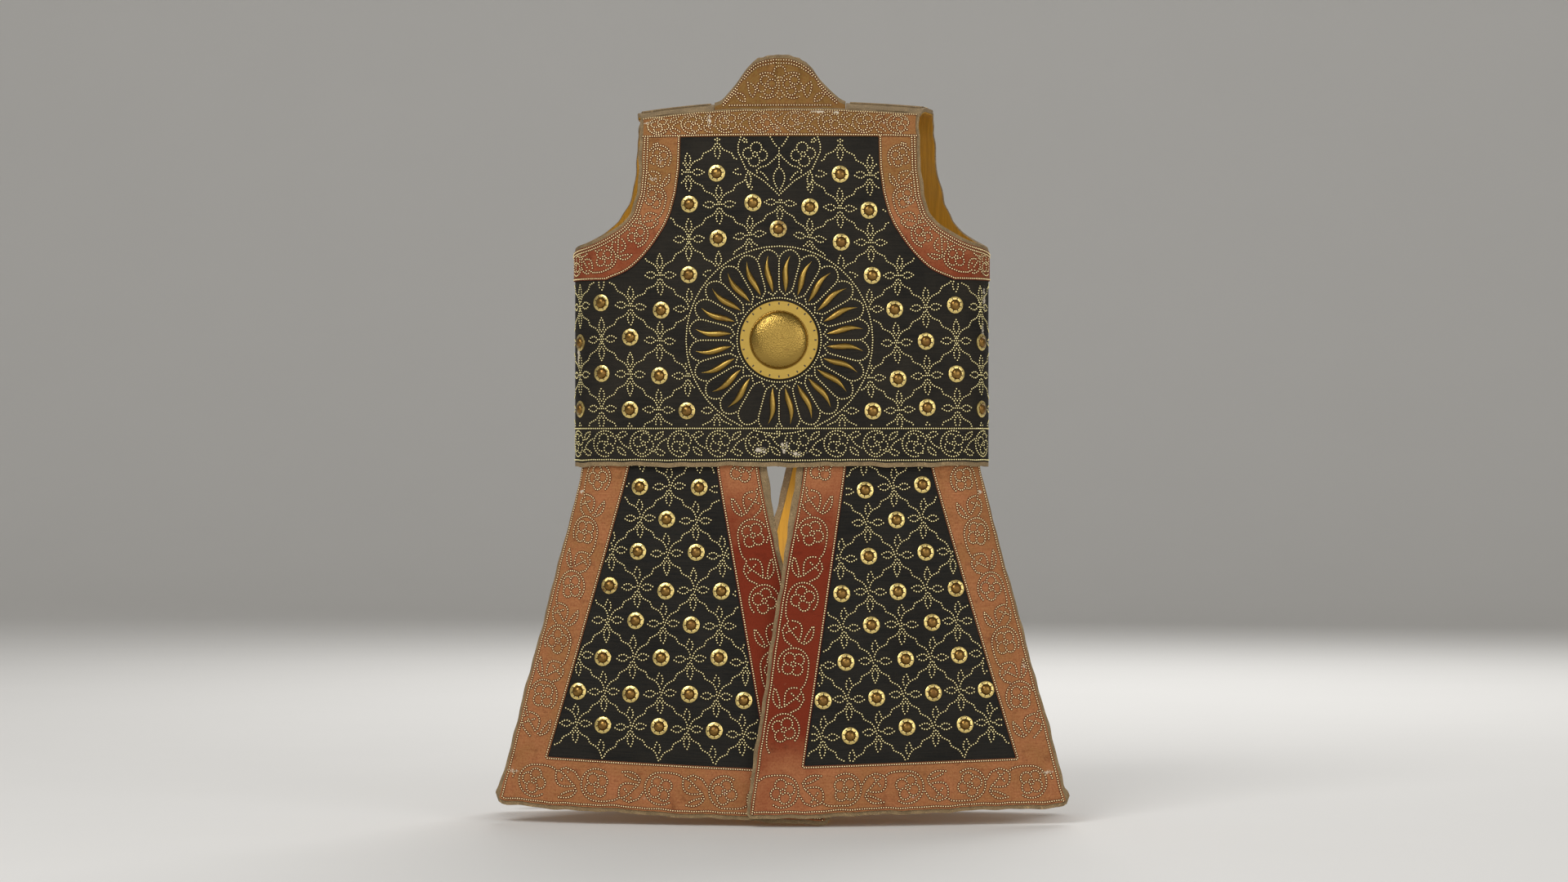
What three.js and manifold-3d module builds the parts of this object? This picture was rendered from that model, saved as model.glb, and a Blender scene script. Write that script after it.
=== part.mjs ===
// Studded coat of nails: a stiff sleeveless body, a standing neck guard, four flared skirts
// and a sun on the back. Millimetres, +Z up. The wearer faces +Y, so the back faces -Y.
// The origin lies on the shoulders, midway between front and back.
import * as THREE from "three";
import { mergeVertices } from "three/addons/utils/BufferGeometryUtils.js";
import loadManifold from "manifold-3d";

const solids = await loadManifold();
solids.setup();
const { Manifold, Mesh: SolidMesh } = solids;

// Body: girth as a flat back arc and a round side arc,
// profile as a straight wall, a lean and a round shoulder
const HALF_WIDTH = 240.5;
const HALF_DEPTH = 80;
const SIDE_RADIUS = 55;
const BODY_LENGTH = 417;
const LEAN_ANGLE = THREE.MathUtils.degToRad(6);
const LEAN_LENGTH = 84;
const SHOULDER_RADIUS = 42;
const SHOULDER_HALF = 165;
const SHOULDER_DROP = { left: 12, right: 6.5 };
const SHOULDER_DROP_RUN = 50;
const BACK_EDGE_ANGLE = THREE.MathUtils.degToRad(52);
const NECK_HALF = 76;

// Cloth: layered panel, silk lining, red bands laid on the outside, and the slits left at the seams
const PANEL_WALL = 4.5;
const LINING_WALL = 1.2;
const BAND_WALL = 1.2;
const LAY_GAP = 0.3;
const SEAM_GAP = 0.3;
const FRONT_GAP = 0.8;

// Studs of the fronts stand on a chequered lattice, leaving the bands clear
const BODY_PITCH = { across: 34.7, down: 38.5, first: -85, rows: 8, columns: 7 };
const SKIRT_PITCH = { across: 32, down: 38.8, first: -444, tilt: 0.06, rows: 8, columns: 3, shift: 8.5 };
const STUD_MARGIN = { body: 4, skirt: 1, lap: 3 };
const STUD_RADIUS = 9.8;
const STUD_SIDES = 6;
const STUD_RINGS = [
  { radius: 1, lift: -1.4 },
  { radius: 1, lift: 2.2 },
  { radius: 0.34, lift: 4.8 },
];

// Studs of the back, set by hand a little off the lattice: distance round and up from the hem
const BACK_STUDS = [
  { around: -71.7, up: 332.1 }, { around: 69.9, up: 330.7 },
  { around: -103.4, up: 296.9 }, { around: -30, up: 298 }, { around: 35.1, up: 293.1 },
  { around: 102.9, up: 289.5 },
  { around: -70, up: 257.3 }, { around: -1, up: 268.1 }, { around: 71, up: 252.9 },
  { around: -104, up: 216.1 }, { around: 106.6, up: 215 },
  { around: -208.9, up: 184.8 }, { around: -136.5, up: 175.7 }, { around: 132.6, up: 176.3 },
  { around: 203.5, up: 181.8 },
  { around: -242.9, up: 139.5 }, { around: -173.3, up: 144.9 }, { around: 169.1, up: 139.9 },
  { around: 242.9, up: 139.5 },
  { around: -207.7, up: 103.4 }, { around: -138.6, up: 100.5 }, { around: 136.6, up: 96.7 },
  { around: 205.3, up: 102.7 },
  { around: -242.9, up: 62.5 }, { around: -173.7, up: 61.6 }, { around: -106.3, up: 60.2 },
  { around: 107.4, up: 59.9 }, { around: 170.8, up: 64 }, { around: 242.9, up: 62.5 },
];

// Studs of the back skirts: distance out from the centre line and down from the skirt's top
const BACK_SKIRT_STUDS = {
  back_left: [
    { out: 91.9, fall: 45.2 }, { out: 164.4, fall: 45.3 }, { out: 130.9, fall: 81.3 },
    { out: 95.2, fall: 117.4 }, { out: 165.2, fall: 118 },
    { out: 65.4, fall: 159.7 }, { out: 131.1, fall: 161.4 }, { out: 198.7, fall: 157.4 },
    { out: 100.5, fall: 198 }, { out: 166.4, fall: 195.6 },
    { out: 68, fall: 232.9 }, { out: 135.6, fall: 235.6 }, { out: 204.5, fall: 238.5 },
    { out: 39, fall: 278.9 }, { out: 102.2, fall: 274.7 }, { out: 170.7, fall: 277.7 },
    { out: 233, fall: 277.6 },
    { out: 73.1, fall: 313.5 }, { out: 136.8, fall: 312 }, { out: 202.5, fall: 313.7 },
  ],
  back_right: [
    { out: 99, fall: 48.8 }, { out: 167.6, fall: 43 }, { out: 136.2, fall: 82.6 },
    { out: 103.2, fall: 122.9 }, { out: 170.6, fall: 119.5 },
    { out: 71.7, fall: 164.2 }, { out: 137.3, fall: 163.2 }, { out: 205.9, fall: 160.9 },
    { out: 106.2, fall: 199.8 }, { out: 177.1, fall: 198.7 },
    { out: 76.8, fall: 240.5 }, { out: 145.8, fall: 239 }, { out: 208.2, fall: 236.2 },
    { out: 50.8, fall: 282.4 }, { out: 112.1, fall: 281 }, { out: 177.6, fall: 277.5 },
    { out: 238.8, fall: 275.9 },
    { out: 81.8, fall: 322.2 }, { out: 146.8, fall: 314.7 }, { out: 213.6, fall: 314.1 },
  ],
};

// Sun: brass dish with a flat rim, and curved rays in the places round it, one of them lost
const SUN = { up: 141, rim: 44.4, dome: 33, dish: 12, plate: 1.6, sides: 24 };
const DISH_REACHES = [0.92, 0.72, 0.42];
const RAY_PLACES = 24;
const RAY_LOST = 13;
const RAY = { start: 55, end: 97, half: 4, ridge: 3.6, tip: 0.6, seat: 0.2, sway: 2.6, stations: 5 };
const RAY_TAPER = { least: 0.14, bias: 0.8 };

// Neck guard: a lobed collar standing inside the back neckline
const GUARD = { wall: 3.4, lap: 9, gap: 0.4, curl: 26, lean: 7, fold: 3.2, columns: 14, rows: 4 };
const GUARD_VALLEY = 8;
const GUARD_RIDGE = { from: 26, width: 10, share: 0.7 };
const GUARD_TOP = [
  { across: 0, height: 48 },
  { across: 12, height: 50 },
  { across: 24, height: 48 },
  { across: 34, height: 41 },
  { across: 44, height: 29 },
  { across: 54, height: 17 },
  { across: 64, height: 8 },
  { across: 75.4, height: 1 },
];

// Rows of the back, measured up from the body's hem: the cut edge,
// and the seam of the band round the armhole
const SIDE = Infinity;
const BAND_FOOT = 211;
const TOP_BAND_FOOT = 374.5;
const BACK_ROWS = [
  { up: 0, edge: SIDE, band: 205 },
  { up: BAND_FOOT, edge: SIDE, band: 205 },
  { up: 216, edge: SIDE, band: 199 },
  { up: 228, edge: SIDE, band: 172 },
  { up: 249, edge: SIDE, band: 148 },
  { up: 250.5, edge: 252, band: 147 },
  { up: 253, edge: 234, band: 145 },
  { up: 257, edge: 218, band: 142 },
  { up: 263, edge: 205, band: 138 },
  { up: 274, edge: 186, band: 131 },
  { up: 288, edge: 173, band: 125 },
  { up: 310, edge: 166, band: 119 },
  { up: 339, edge: 163, band: 115 },
  { up: TOP_BAND_FOOT, edge: 162, band: 114 },
];

// Rows of a front, from the hem to the crest of the shoulder: centre and neck edge,
// seams of the trim and of the band, and armhole edge
const FRONT_TOP_FOOT = 380;
const FRONT_ROWS = [
  { up: 0, neck: 0, trim: 44, band: 205, edge: SIDE },
  { up: BAND_FOOT, neck: 0, trim: 44, band: 205, edge: SIDE },
  { up: 228, neck: 0, trim: 44, band: 178, edge: SIDE },
  { up: 249, neck: 0, trim: 44, band: 156, edge: SIDE },
  { up: 253, neck: 0, trim: 44, band: 153, edge: 256 },
  { up: 259, neck: 0, trim: 44, band: 148, edge: 236 },
  { up: 269, neck: 0, trim: 44, band: 141, edge: 215 },
  { up: 284, neck: 0, trim: 45, band: 135, edge: 198 },
  { up: 304, neck: 0, trim: 48, band: 130, edge: 184 },
  { up: 343, neck: 0, trim: 66, band: 126, edge: 175 },
  { up: 349, neck: 24, trim: 72, band: 126, edge: 174 },
  { up: 360, neck: 45, trim: 82, band: 126, edge: 174 },
  { up: FRONT_TOP_FOOT, neck: 63, trim: 92, band: 126, edge: 173 },
  { up: 401, neck: 72, trim: 95, band: 126, edge: 172 },
  { up: 422, neck: NECK_HALF, trim: 96, band: 126, edge: 170 },
  { up: 443, neck: NECK_HALF, trim: 96, band: 126, edge: 169 },
];
const FRONT_STRAP = { band: 122, crest: 166, near: 163, end: 162, last: 8 };
const RIGHT_FRONT_REACH = { out: 8, from: 256, full: 304, gone: 560 };

// Skirts: waist ends along the girth, hem ends across, hem heights,
// and how far the inner edge stands out or in
const SKIRT_TOP = -398;
const SKIRT_SINK = 7.0;
const SKIRT_STRAIGHT = 22;
const SKIRT_HEM = { depth: 116, roundness: 1100, strip: 57 };
const SKIRT_BORDER = { innerTop: 58.5, outerTop: 77.5, outerFoot: 45 };
const SKIRT_LIFT_ACROSS = 0.62;
const SKIRTS = [
  { name: "back_left", face: -1, side: -1, waistIn: 16.5, waistOut: 249, hemIn: -58, hemOut: 327,
    footIn: -827, footOut: -808, innerFoot: 58.5, studTop: 130, studFoot: 140, lift: -6, rise: 0.3 },
  { name: "back_right", face: -1, side: 1, waistIn: 21, waistOut: 249, hemIn: -37, hemOut: 333,
    footIn: -820, footOut: -809, innerFoot: 58.5, studTop: 128, studFoot: 142, lift: 6.5, rise: 0.3 },
  { name: "front_left", face: 1, side: -1, waistIn: 28, waistOut: 249, hemIn: -60, hemOut: 330,
    footIn: -820, footOut: -808, innerFoot: 58.5, studTop: 132, studFoot: 138, lift: 6.5, rise: 0.1 },
  { name: "front_right", face: 1, side: 1, waistIn: 6, waistOut: 249, hemIn: -105, hemOut: 330,
    footIn: -820, footOut: -808, innerFoot: 58.5, studTop: 128, studFoot: 136, lift: -6, rise: 0.1 },
];

const ROUGHNESS = { brass: 0.4, cloth: 0.9 };
const COLOUR = { field: 0x17191d, band: 0x8a4a38, lining: 0xb08a3c, brass: 0xc9a24a };

// Worked-out sizes of the girth and the profile
const SIDE_CENTRE = HALF_WIDTH - SIDE_RADIUS;
const FLAT_REACH = SIDE_CENTRE ** 2 + HALF_DEPTH ** 2 - SIDE_RADIUS ** 2;
const FLAT_RADIUS = FLAT_REACH / (2 * (HALF_DEPTH - SIDE_RADIUS));
const FLAT_TURN = Math.atan2(SIDE_CENTRE, FLAT_RADIUS - HALF_DEPTH);
const GIRTH = [
  { run: FLAT_RADIUS * FLAT_TURN, bend: FLAT_TURN },
  { run: SIDE_RADIUS * (Math.PI / 2 - FLAT_TURN), bend: Math.PI / 2 - FLAT_TURN },
];
const QUARTER = GIRTH[0].run + GIRTH[1].run;
const LEAN_REACH = LEAN_LENGTH / LEAN_ANGLE;
const SHOULDER_TURN = Math.PI / 2 - LEAN_ANGLE;
const LEAN_RISE = LEAN_REACH * Math.sin(LEAN_ANGLE);
const STRAIGHT = BODY_LENGTH - LEAN_RISE - SHOULDER_RADIUS * (1 - Math.sin(LEAN_ANGLE));
const CORNER = STRAIGHT + LEAN_LENGTH;
const LEAN_FALL = LEAN_REACH * (1 - Math.cos(LEAN_ANGLE));
const FLAT_TOP = HALF_DEPTH - LEAN_FALL - SHOULDER_RADIUS * Math.cos(LEAN_ANGLE);
const PROFILE = [
  { run: STRAIGHT, bend: 0 },
  { run: LEAN_LENGTH, bend: LEAN_ANGLE },
  { run: SHOULDER_RADIUS * SHOULDER_TURN, bend: SHOULDER_TURN },
  { run: FLAT_TOP, bend: 0 },
];
const CREST = CORNER + SHOULDER_RADIUS * SHOULDER_TURN + FLAT_TOP;
const BACK_TOP = CORNER + SHOULDER_RADIUS * (BACK_EDGE_ANGLE - LEAN_ANGLE);

// Position and heading after a distance along lines and arcs
function walk(track, distance) {
  let ahead = 0;
  let aside = 0;
  let heading = 0;
  let left = distance;
  for (const [index, { run, bend }] of track.entries()) {
    const part = index === track.length - 1 ? left : Math.min(left, run);
    const turn = (bend * part) / run;
    if (bend === 0) {
      ahead += part * Math.cos(heading);
      aside += part * Math.sin(heading);
    } else {
      const radius = run / bend;
      ahead += radius * (Math.sin(heading + turn) - Math.sin(heading));
      aside += radius * (Math.cos(heading) - Math.cos(heading + turn));
    }
    heading += turn;
    left -= part;
    if (left <= 0) break;
  }
  return { ahead, aside };
}

function smooth(value) {
  const t = THREE.MathUtils.clamp(value, 0, 1);
  return t * t * (3 - 2 * t);
}

// A value read from a short table by straight lines between its rows
function read(table, key, at, column) {
  const next = table.findIndex((row) => row[key] >= at);
  if (next === 0) return table[0][column];
  if (next < 0) return table[table.length - 1][column];
  const low = table[next - 1];
  const high = table[next];
  return THREE.MathUtils.mapLinear(at, low[key], high[key], low[column], high[column]);
}

// The body's outer face: distance round from the centre line,
// distance up from the hem and over the shoulder
function bodyPoint(face, around, up) {
  const over = up > CREST;
  const rise = walk(PROFILE, over ? 2 * CREST - up : up);
  const girth = walk(GIRTH, Math.abs(around));
  const across = Math.sign(around) * girth.ahead;
  const depth = (HALF_DEPTH - girth.aside) * (1 - rise.aside / HALF_DEPTH);
  const slope = smooth(1 - (BODY_LENGTH - rise.ahead) / SHOULDER_DROP_RUN);
  const fall = across < 0 ? SHOULDER_DROP.left : SHOULDER_DROP.right;
  const drop = fall * (across / SHOULDER_HALF) ** 2 * slope;
  return new THREE.Vector3(across, face * (over ? -1 : 1) * depth, rise.ahead - BODY_LENGTH - drop);
}

// The same point moved out along the surface normal
const PROBE = 0.5;
const EVEN = 1e-4;
function offsetFrom(surface, turn) {
  return (u, v, lift) => {
    const alongU = surface(u + PROBE, v).sub(surface(u - PROBE, v));
    const alongV = surface(u, v + PROBE).sub(surface(u, v - PROBE));
    const normal = alongU.cross(alongV).normalize();
    return surface(u, v).addScaledVector(normal, turn * lift);
  };
}
const onBack = offsetFrom((u, v) => bodyPoint(-1, u, v), 1);
const onFront = offsetFrom((u, v) => bodyPoint(1, u, v), -1);

// Skirt: straight lines from the waist, just inside the body, to the rounded hem;
// the inner edges pass each other
function skirtPoint(skirt, across, down) {
  const { face, side, waistIn, waistOut, hemIn, hemOut, footIn, footOut, lift, rise } = skirt;
  const around = THREE.MathUtils.lerp(waistIn, waistOut, across);
  const top = (face < 0 ? onBack : onFront)(side * around, 0, -SKIRT_SINK);
  const hemX = side * THREE.MathUtils.lerp(hemIn, hemOut, across);
  const hemY = face * (SKIRT_HEM.depth - hemX ** 2 / (2 * SKIRT_HEM.roundness));
  const foot = THREE.MathUtils.lerp(footIn, footOut, across);
  const height = THREE.MathUtils.lerp(SKIRT_TOP, foot, down);
  const start = SKIRT_STRAIGHT / (SKIRT_TOP - foot);
  const spread = Math.max(0, (down - start) / (1 - start));
  const pass = lift * smooth(spread / rise) * (1 - smooth(across / SKIRT_LIFT_ACROSS));
  const x = THREE.MathUtils.lerp(top.x, hemX, spread);
  const y = THREE.MathUtils.lerp(top.y, hemY, spread) + face * pass;
  return new THREE.Vector3(x, y, height);
}

const SKIRT_PROBE = 0.004;
function onSkirt(skirt) {
  return (across, down, lift) => {
    const low = Math.max(down, SKIRT_PROBE);
    const at = (stepU, stepV) => skirtPoint(skirt, across + stepU, low + stepV);
    const alongU = at(SKIRT_PROBE, 0).sub(at(-SKIRT_PROBE, 0));
    const alongV = at(0, SKIRT_PROBE).sub(at(0, -SKIRT_PROBE));
    const normal = alongU.cross(alongV).normalize().multiplyScalar(skirt.face * skirt.side);
    return skirtPoint(skirt, across, down).addScaledVector(normal, lift);
  };
}

// A closed wall over a lattice of surface places, between two lifts; the mask leaves cells out
function wall(place, lattice, outer, inner, keep = () => true) {
  const rows = lattice.length;
  const columns = lattice[0].length;
  const points = [];
  for (const lift of [outer, inner]) {
    for (const row of lattice) {
      for (const [u, v] of row) points.push(...place(u, v, lift));
    }
  }
  const at = (layer, row, column) => (layer * rows + row) * columns + column;
  const kept = (row, column) =>
    row >= 0 && column >= 0 && row < rows - 1 && column < columns - 1 && keep(row, column);
  const base = lattice.map((row) => row.map(([u, v]) => place(u, v, 0)));
  const rising = (row, column) =>
    base[row][column].distanceTo(base[row + 1][column + 1]) <=
    base[row][column + 1].distanceTo(base[row + 1][column]) - EVEN;
  const faces = [];
  const quad = (a, b, c, d) => faces.push(a, b, c, a, c, d);
  for (let row = 0; row < rows - 1; row += 1) {
    for (let column = 0; column < columns - 1; column += 1) {
      if (!kept(row, column)) continue;
      const corner = (layer) => [
        at(layer, row, column),
        at(layer, row, column + 1),
        at(layer, row + 1, column + 1),
        at(layer, row + 1, column),
      ];
      const [a, b, c, d] = corner(0);
      const [e, f, g, h] = corner(1);
      if (rising(row, column)) {
        quad(a, b, c, d);
        quad(e, h, g, f);
      } else {
        quad(b, c, d, a);
        quad(f, e, h, g);
      }
      if (!kept(row - 1, column)) quad(e, f, b, a);
      if (!kept(row, column + 1)) quad(f, g, c, b);
      if (!kept(row + 1, column)) quad(g, h, d, c);
      if (!kept(row, column - 1)) quad(h, e, a, d);
    }
  }
  return closed(points, faces);
}

// Rings of surface points joined into one closed body with flat ends
function loft(rings) {
  const sides = rings[0].length;
  const points = rings.flat().flatMap((point) => [...point]);
  const faces = [];
  for (let ring = 0; ring < rings.length - 1; ring += 1) {
    for (let side = 0; side < sides; side += 1) {
      const a = ring * sides + side;
      const b = ring * sides + ((side + 1) % sides);
      faces.push(a, b, b + sides, a, b + sides, a + sides);
    }
  }
  const last = (rings.length - 1) * sides;
  for (let side = 1; side < sides - 1; side += 1) {
    faces.push(0, side + 1, side, last, last + side, last + side + 1);
  }
  return closed(points, faces);
}

function closed(points, faces) {
  const geometry = new THREE.BufferGeometry();
  geometry.setAttribute("position", new THREE.Float32BufferAttribute(points, 3));
  geometry.setIndex(faces);
  if (volume(geometry) < 0) geometry.setIndex(faces.toReversed());
  return geometry;
}

function volume(geometry) {
  const spots = geometry.getAttribute("position");
  const order = geometry.getIndex().array;
  const [a, b, c] = [new THREE.Vector3(), new THREE.Vector3(), new THREE.Vector3()];
  let sum = 0;
  for (let index = 0; index < order.length; index += 3) {
    a.fromBufferAttribute(spots, order[index]);
    b.fromBufferAttribute(spots, order[index + 1]);
    c.fromBufferAttribute(spots, order[index + 2]);
    sum += a.dot(b.cross(c));
  }
  return sum / 6;
}

const WELD = 1e-3;
function toSolid(geometry) {
  const bare = new THREE.BufferGeometry();
  bare.setAttribute("position", geometry.getAttribute("position"));
  bare.setIndex(geometry.getIndex());
  const merged = mergeVertices(bare, WELD);
  const vertProperties = new Float32Array(merged.getAttribute("position").array);
  const triVerts = new Uint32Array(merged.getIndex().array);
  const mesh = new SolidMesh({ numProp: 3, vertProperties, triVerts });
  mesh.merge();
  return new Manifold(mesh);
}

function fromSolid(solid) {
  const mesh = solid.getMesh();
  const geometry = new THREE.BufferGeometry();
  const spots = new THREE.Float32BufferAttribute(mesh.vertProperties, mesh.numProp);
  geometry.setAttribute("position", spots);
  geometry.setIndex([...mesh.triVerts]);
  return geometry;
}

// Lattices of places
function spread(from, to, cells) {
  return Array.from({ length: cells + 1 }, (_, index) => THREE.MathUtils.lerp(from, to, index / cells));
}
const BAND_CELLS = 4;
const FIELD_CELLS = 6;
const FRONT_FIELD_CELLS = 3;
const TRIM_CELLS = 2;
const sideSeam = QUARTER - SEAM_GAP / 2;

const backTopRow = { ...BACK_ROWS.at(-1), up: BACK_TOP };
const backMidRow = { ...BACK_ROWS.at(-1), up: (BACK_TOP + TOP_BAND_FOOT) / 2 };
const backRows = [...BACK_ROWS, backMidRow, backTopRow];
function backLattice(rows) {
  return rows.map(({ up, edge, band }) => {
    const rim = Math.min(edge, sideSeam);
    const half = [...spread(0, band, FIELD_CELLS / 2), ...spread(band, rim, BAND_CELLS).slice(1)];
    return [...half.slice(1).toReversed().map((around) => -around), ...half].map((around) => [around, up]);
  });
}

const frontTurn = { ...FRONT_ROWS.at(-1), band: FRONT_STRAP.band };
const strapEnd = 2 * CREST - BACK_TOP;
const strapBend = 2 * CREST - CORNER - SHOULDER_RADIUS * SHOULDER_TURN;
const frontBackRows = [
  { ...FRONT_ROWS.at(-1), up: CREST },
  { ...frontTurn, up: strapBend, edge: FRONT_STRAP.crest },
  { ...frontTurn, up: strapEnd - FRONT_STRAP.last, edge: FRONT_STRAP.near },
  { ...frontTurn, up: strapEnd - SEAM_GAP, edge: FRONT_STRAP.end },
];
const frontRows = [...FRONT_ROWS, ...frontBackRows];
function frontLattice(side, rows) {
  return rows.map(({ up, neck, trim, band, edge }) => {
    const { out, from, full, gone } = RIGHT_FRONT_REACH;
    const grown = smooth((up - from) / (full - from)) * smooth((gone - up) / (gone - CREST));
    const reach = side > 0 ? out * grown : 0;
    const rim = Math.min(edge + reach, sideSeam);
    const inner = Math.max(neck, FRONT_GAP / 2);
    const cuts = [
      ...spread(inner, trim, TRIM_CELLS),
      ...spread(trim, band, FRONT_FIELD_CELLS).slice(1),
      ...spread(band, rim, BAND_CELLS).slice(1),
    ];
    return cuts.map((around) => [side * around, up]);
  });
}

const SKIRT_CELLS = { inner: 1, field: 3, outer: 3 };
const SKIRT_ROWS = [0.15, 0.36, 0.6];
function skirtWidth(skirt, down) {
  const { waistIn, waistOut, hemIn, hemOut } = skirt;
  return THREE.MathUtils.lerp(waistOut - waistIn, hemOut - hemIn, down);
}
function skirtSeams(skirt, down) {
  const { innerTop, outerTop, outerFoot } = SKIRT_BORDER;
  const width = skirtWidth(skirt, down);
  const inner = THREE.MathUtils.lerp(innerTop, skirt.innerFoot, down) / width;
  const outer = 1 - THREE.MathUtils.lerp(outerTop, outerFoot, down) / width;
  return { inner, outer };
}
function hemSeam(skirt) {
  return 1 - SKIRT_HEM.strip / (SKIRT_TOP - skirt.footOut);
}
function skirtLattice(skirt, top) {
  const kink = SKIRT_STRAIGHT / (SKIRT_TOP - skirt.footOut);
  const seam = hemSeam(skirt);
  const downs = [top, kink, ...SKIRT_ROWS, seam, 1];
  return downs.map((down) => {
    const { inner, outer } = skirtSeams(skirt, down);
    const cuts = [
      ...spread(0, inner, SKIRT_CELLS.inner),
      ...spread(inner, outer, SKIRT_CELLS.field).slice(1),
      ...spread(outer, 1, SKIRT_CELLS.outer).slice(1),
    ];
    return cuts.map((across) => [across, down]);
  });
}

// Studs: one low rosette, its rings laid on the surface round its place
function studRings(place, spots) {
  return STUD_RINGS.map(({ radius, lift }) =>
    Array.from({ length: STUD_SIDES }, (_, index) => {
      const angle = (2 * Math.PI * (index + 0.5)) / STUD_SIDES;
      const reach = radius * STUD_RADIUS;
      return place(...spots(reach * Math.cos(angle), reach * Math.sin(angle)), lift);
    }));
}

// Distance from a place to the armhole band's seam, which runs on level to the side
function gapToBand(rows, around, up) {
  const banded = rows.filter((row) => row.up >= BAND_FOOT);
  const seam = banded.map((row) => new THREE.Vector3(row.band, row.up, 0));
  seam.unshift(new THREE.Vector3(sideSeam, BAND_FOOT, 0));
  const spot = new THREE.Vector3(Math.abs(around), up, 0);
  const nearest = new THREE.Vector3();
  const gaps = seam.slice(1).map((end, index) => {
    new THREE.Line3(seam[index], end).closestPointToPoint(spot, true, nearest);
    return nearest.distanceTo(spot);
  });
  return Math.min(...gaps);
}

function frontStudPlaces() {
  const margin = STUD_RADIUS + STUD_MARGIN.body;
  const spots = [];
  for (let row = 0; row < BODY_PITCH.rows; row += 1) {
    const up = BODY_LENGTH + BODY_PITCH.first - BODY_PITCH.down * row;
    for (let column = -BODY_PITCH.columns; column <= BODY_PITCH.columns; column += 1) {
      const around = column * BODY_PITCH.across;
      const limit = up < BAND_FOOT ? sideSeam - margin : read(FRONT_ROWS, "up", up, "band");
      const inner = read(FRONT_ROWS, "up", up, "trim") + margin;
      const beside = Math.abs(around) <= limit && gapToBand(FRONT_ROWS, around, up) > margin;
      const parity = (row + column) % 2 === 0;
      const inside = beside && Math.abs(around) >= inner && up < FRONT_TOP_FOOT - margin;
      if (parity && inside) spots.push({ around, up });
    }
  }
  return spots;
}

// Whether a place on an under skirt lies beneath the skirt that passes over it
function covered(skirt, across, down) {
  if (skirt.lift > 0) return false;
  const cover = SKIRTS.find(({ face, side }) => face === skirt.face && side !== skirt.side);
  const past = skirtPoint(skirt, across, down).x - skirtPoint(cover, 0, down).x;
  return past * skirt.side < STUD_RADIUS + STUD_MARGIN.lap;
}

// A place by its distance out and its fall, as shares of the skirt's width and drop
function onCut(skirt, out, fall) {
  const down = fall / (SKIRT_TOP - skirt.footOut);
  const width = skirtWidth(skirt, down);
  const across = (out - THREE.MathUtils.lerp(skirt.waistIn, skirt.hemIn, down)) / width;
  return { across, down, width };
}

function skirtStuds(skirt) {
  const set = BACK_SKIRT_STUDS[skirt.name];
  if (set) return set.map(({ out, fall }) => onCut(skirt, out, fall));
  const margin = STUD_RADIUS + STUD_MARGIN.skirt;
  const drop = SKIRT_TOP - skirt.footOut;
  const spots = [];
  for (let row = 0; row < SKIRT_PITCH.rows; row += 1) {
    for (let column = -SKIRT_PITCH.columns; column <= SKIRT_PITCH.columns; column += 1) {
      if ((row + column) % 2 === 0) continue;
      const reach = column * SKIRT_PITCH.across;
      const height = SKIRT_PITCH.first - SKIRT_PITCH.down * row + SKIRT_PITCH.tilt * reach;
      const centre = THREE.MathUtils.lerp(skirt.studTop, skirt.studFoot, row / (SKIRT_PITCH.rows - 1));
      const { across: wanted, down, width } = onCut(skirt, centre + reach, SKIRT_TOP - height);
      const seams = skirtSeams(skirt, down);
      const reserve = margin / width;
      const across = THREE.MathUtils.clamp(wanted, seams.inner + reserve, seams.outer - reserve);
      const allowed = Math.abs(column) === SKIRT_PITCH.columns ? SKIRT_PITCH.shift : 1;
      const inside = Math.abs(wanted - across) * width < allowed;
      const above = (hemSeam(skirt) - down) * drop > margin;
      if (inside && above && !covered(skirt, across, down)) spots.push({ across, down, width });
    }
  }
  return spots;
}

// Assembly
const coat = new THREE.Group();
coat.name = "studded_coat";
function finish(name, geometry, colour, metalness = 0) {
  geometry.deleteAttribute("normal");
  const flat = geometry.toNonIndexed();
  flat.computeVertexNormals();
  const roughness = metalness ? ROUGHNESS.brass : ROUGHNESS.cloth;
  const material = new THREE.MeshStandardMaterial({ color: colour, metalness, roughness });
  material.name = Object.keys(COLOUR).find((key) => COLOUR[key] === colour);
  const mesh = new THREE.Mesh(flat, material);
  mesh.name = name;
  coat.add(mesh);
}
function studded(geometry, studs) {
  const heads = studs.map((rings) => toSolid(loft(rings)));
  return fromSolid(Manifold.union([toSolid(geometry), ...heads]));
}

const BAND_LIFT = LAY_GAP + BAND_WALL;
const LINING_LIFT = -PANEL_WALL - LAY_GAP;

// Back
const backGrid = backLattice(backRows);
const backStuds = BACK_STUDS.map(({ around, up }) => studRings(onBack, (a, b) => [around + a, up + b]));
finish("back_panel", studded(wall(onBack, backGrid, 0, -PANEL_WALL), backStuds), COLOUR.field);
const LINING_FOOT = 26;
const lowered = (rows) => [{ ...rows[0], up: LINING_FOOT }, ...rows.slice(1)];
const backLining = backLattice(lowered(backRows).slice(0, -1));
finish("back_lining", wall(onBack, backLining, LINING_LIFT, LINING_LIFT - LINING_WALL), COLOUR.lining);
const bandRow = BACK_ROWS.findIndex(({ up }) => up === BAND_FOOT);
const topRow = BACK_ROWS.findIndex(({ up }) => up === TOP_BAND_FOOT);
const backColumns = 2 * BAND_CELLS + FIELD_CELLS;
finish("back_top_band", wall(onBack, backGrid, BAND_LIFT, LAY_GAP, (row) => row >= topRow), COLOUR.band);
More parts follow.
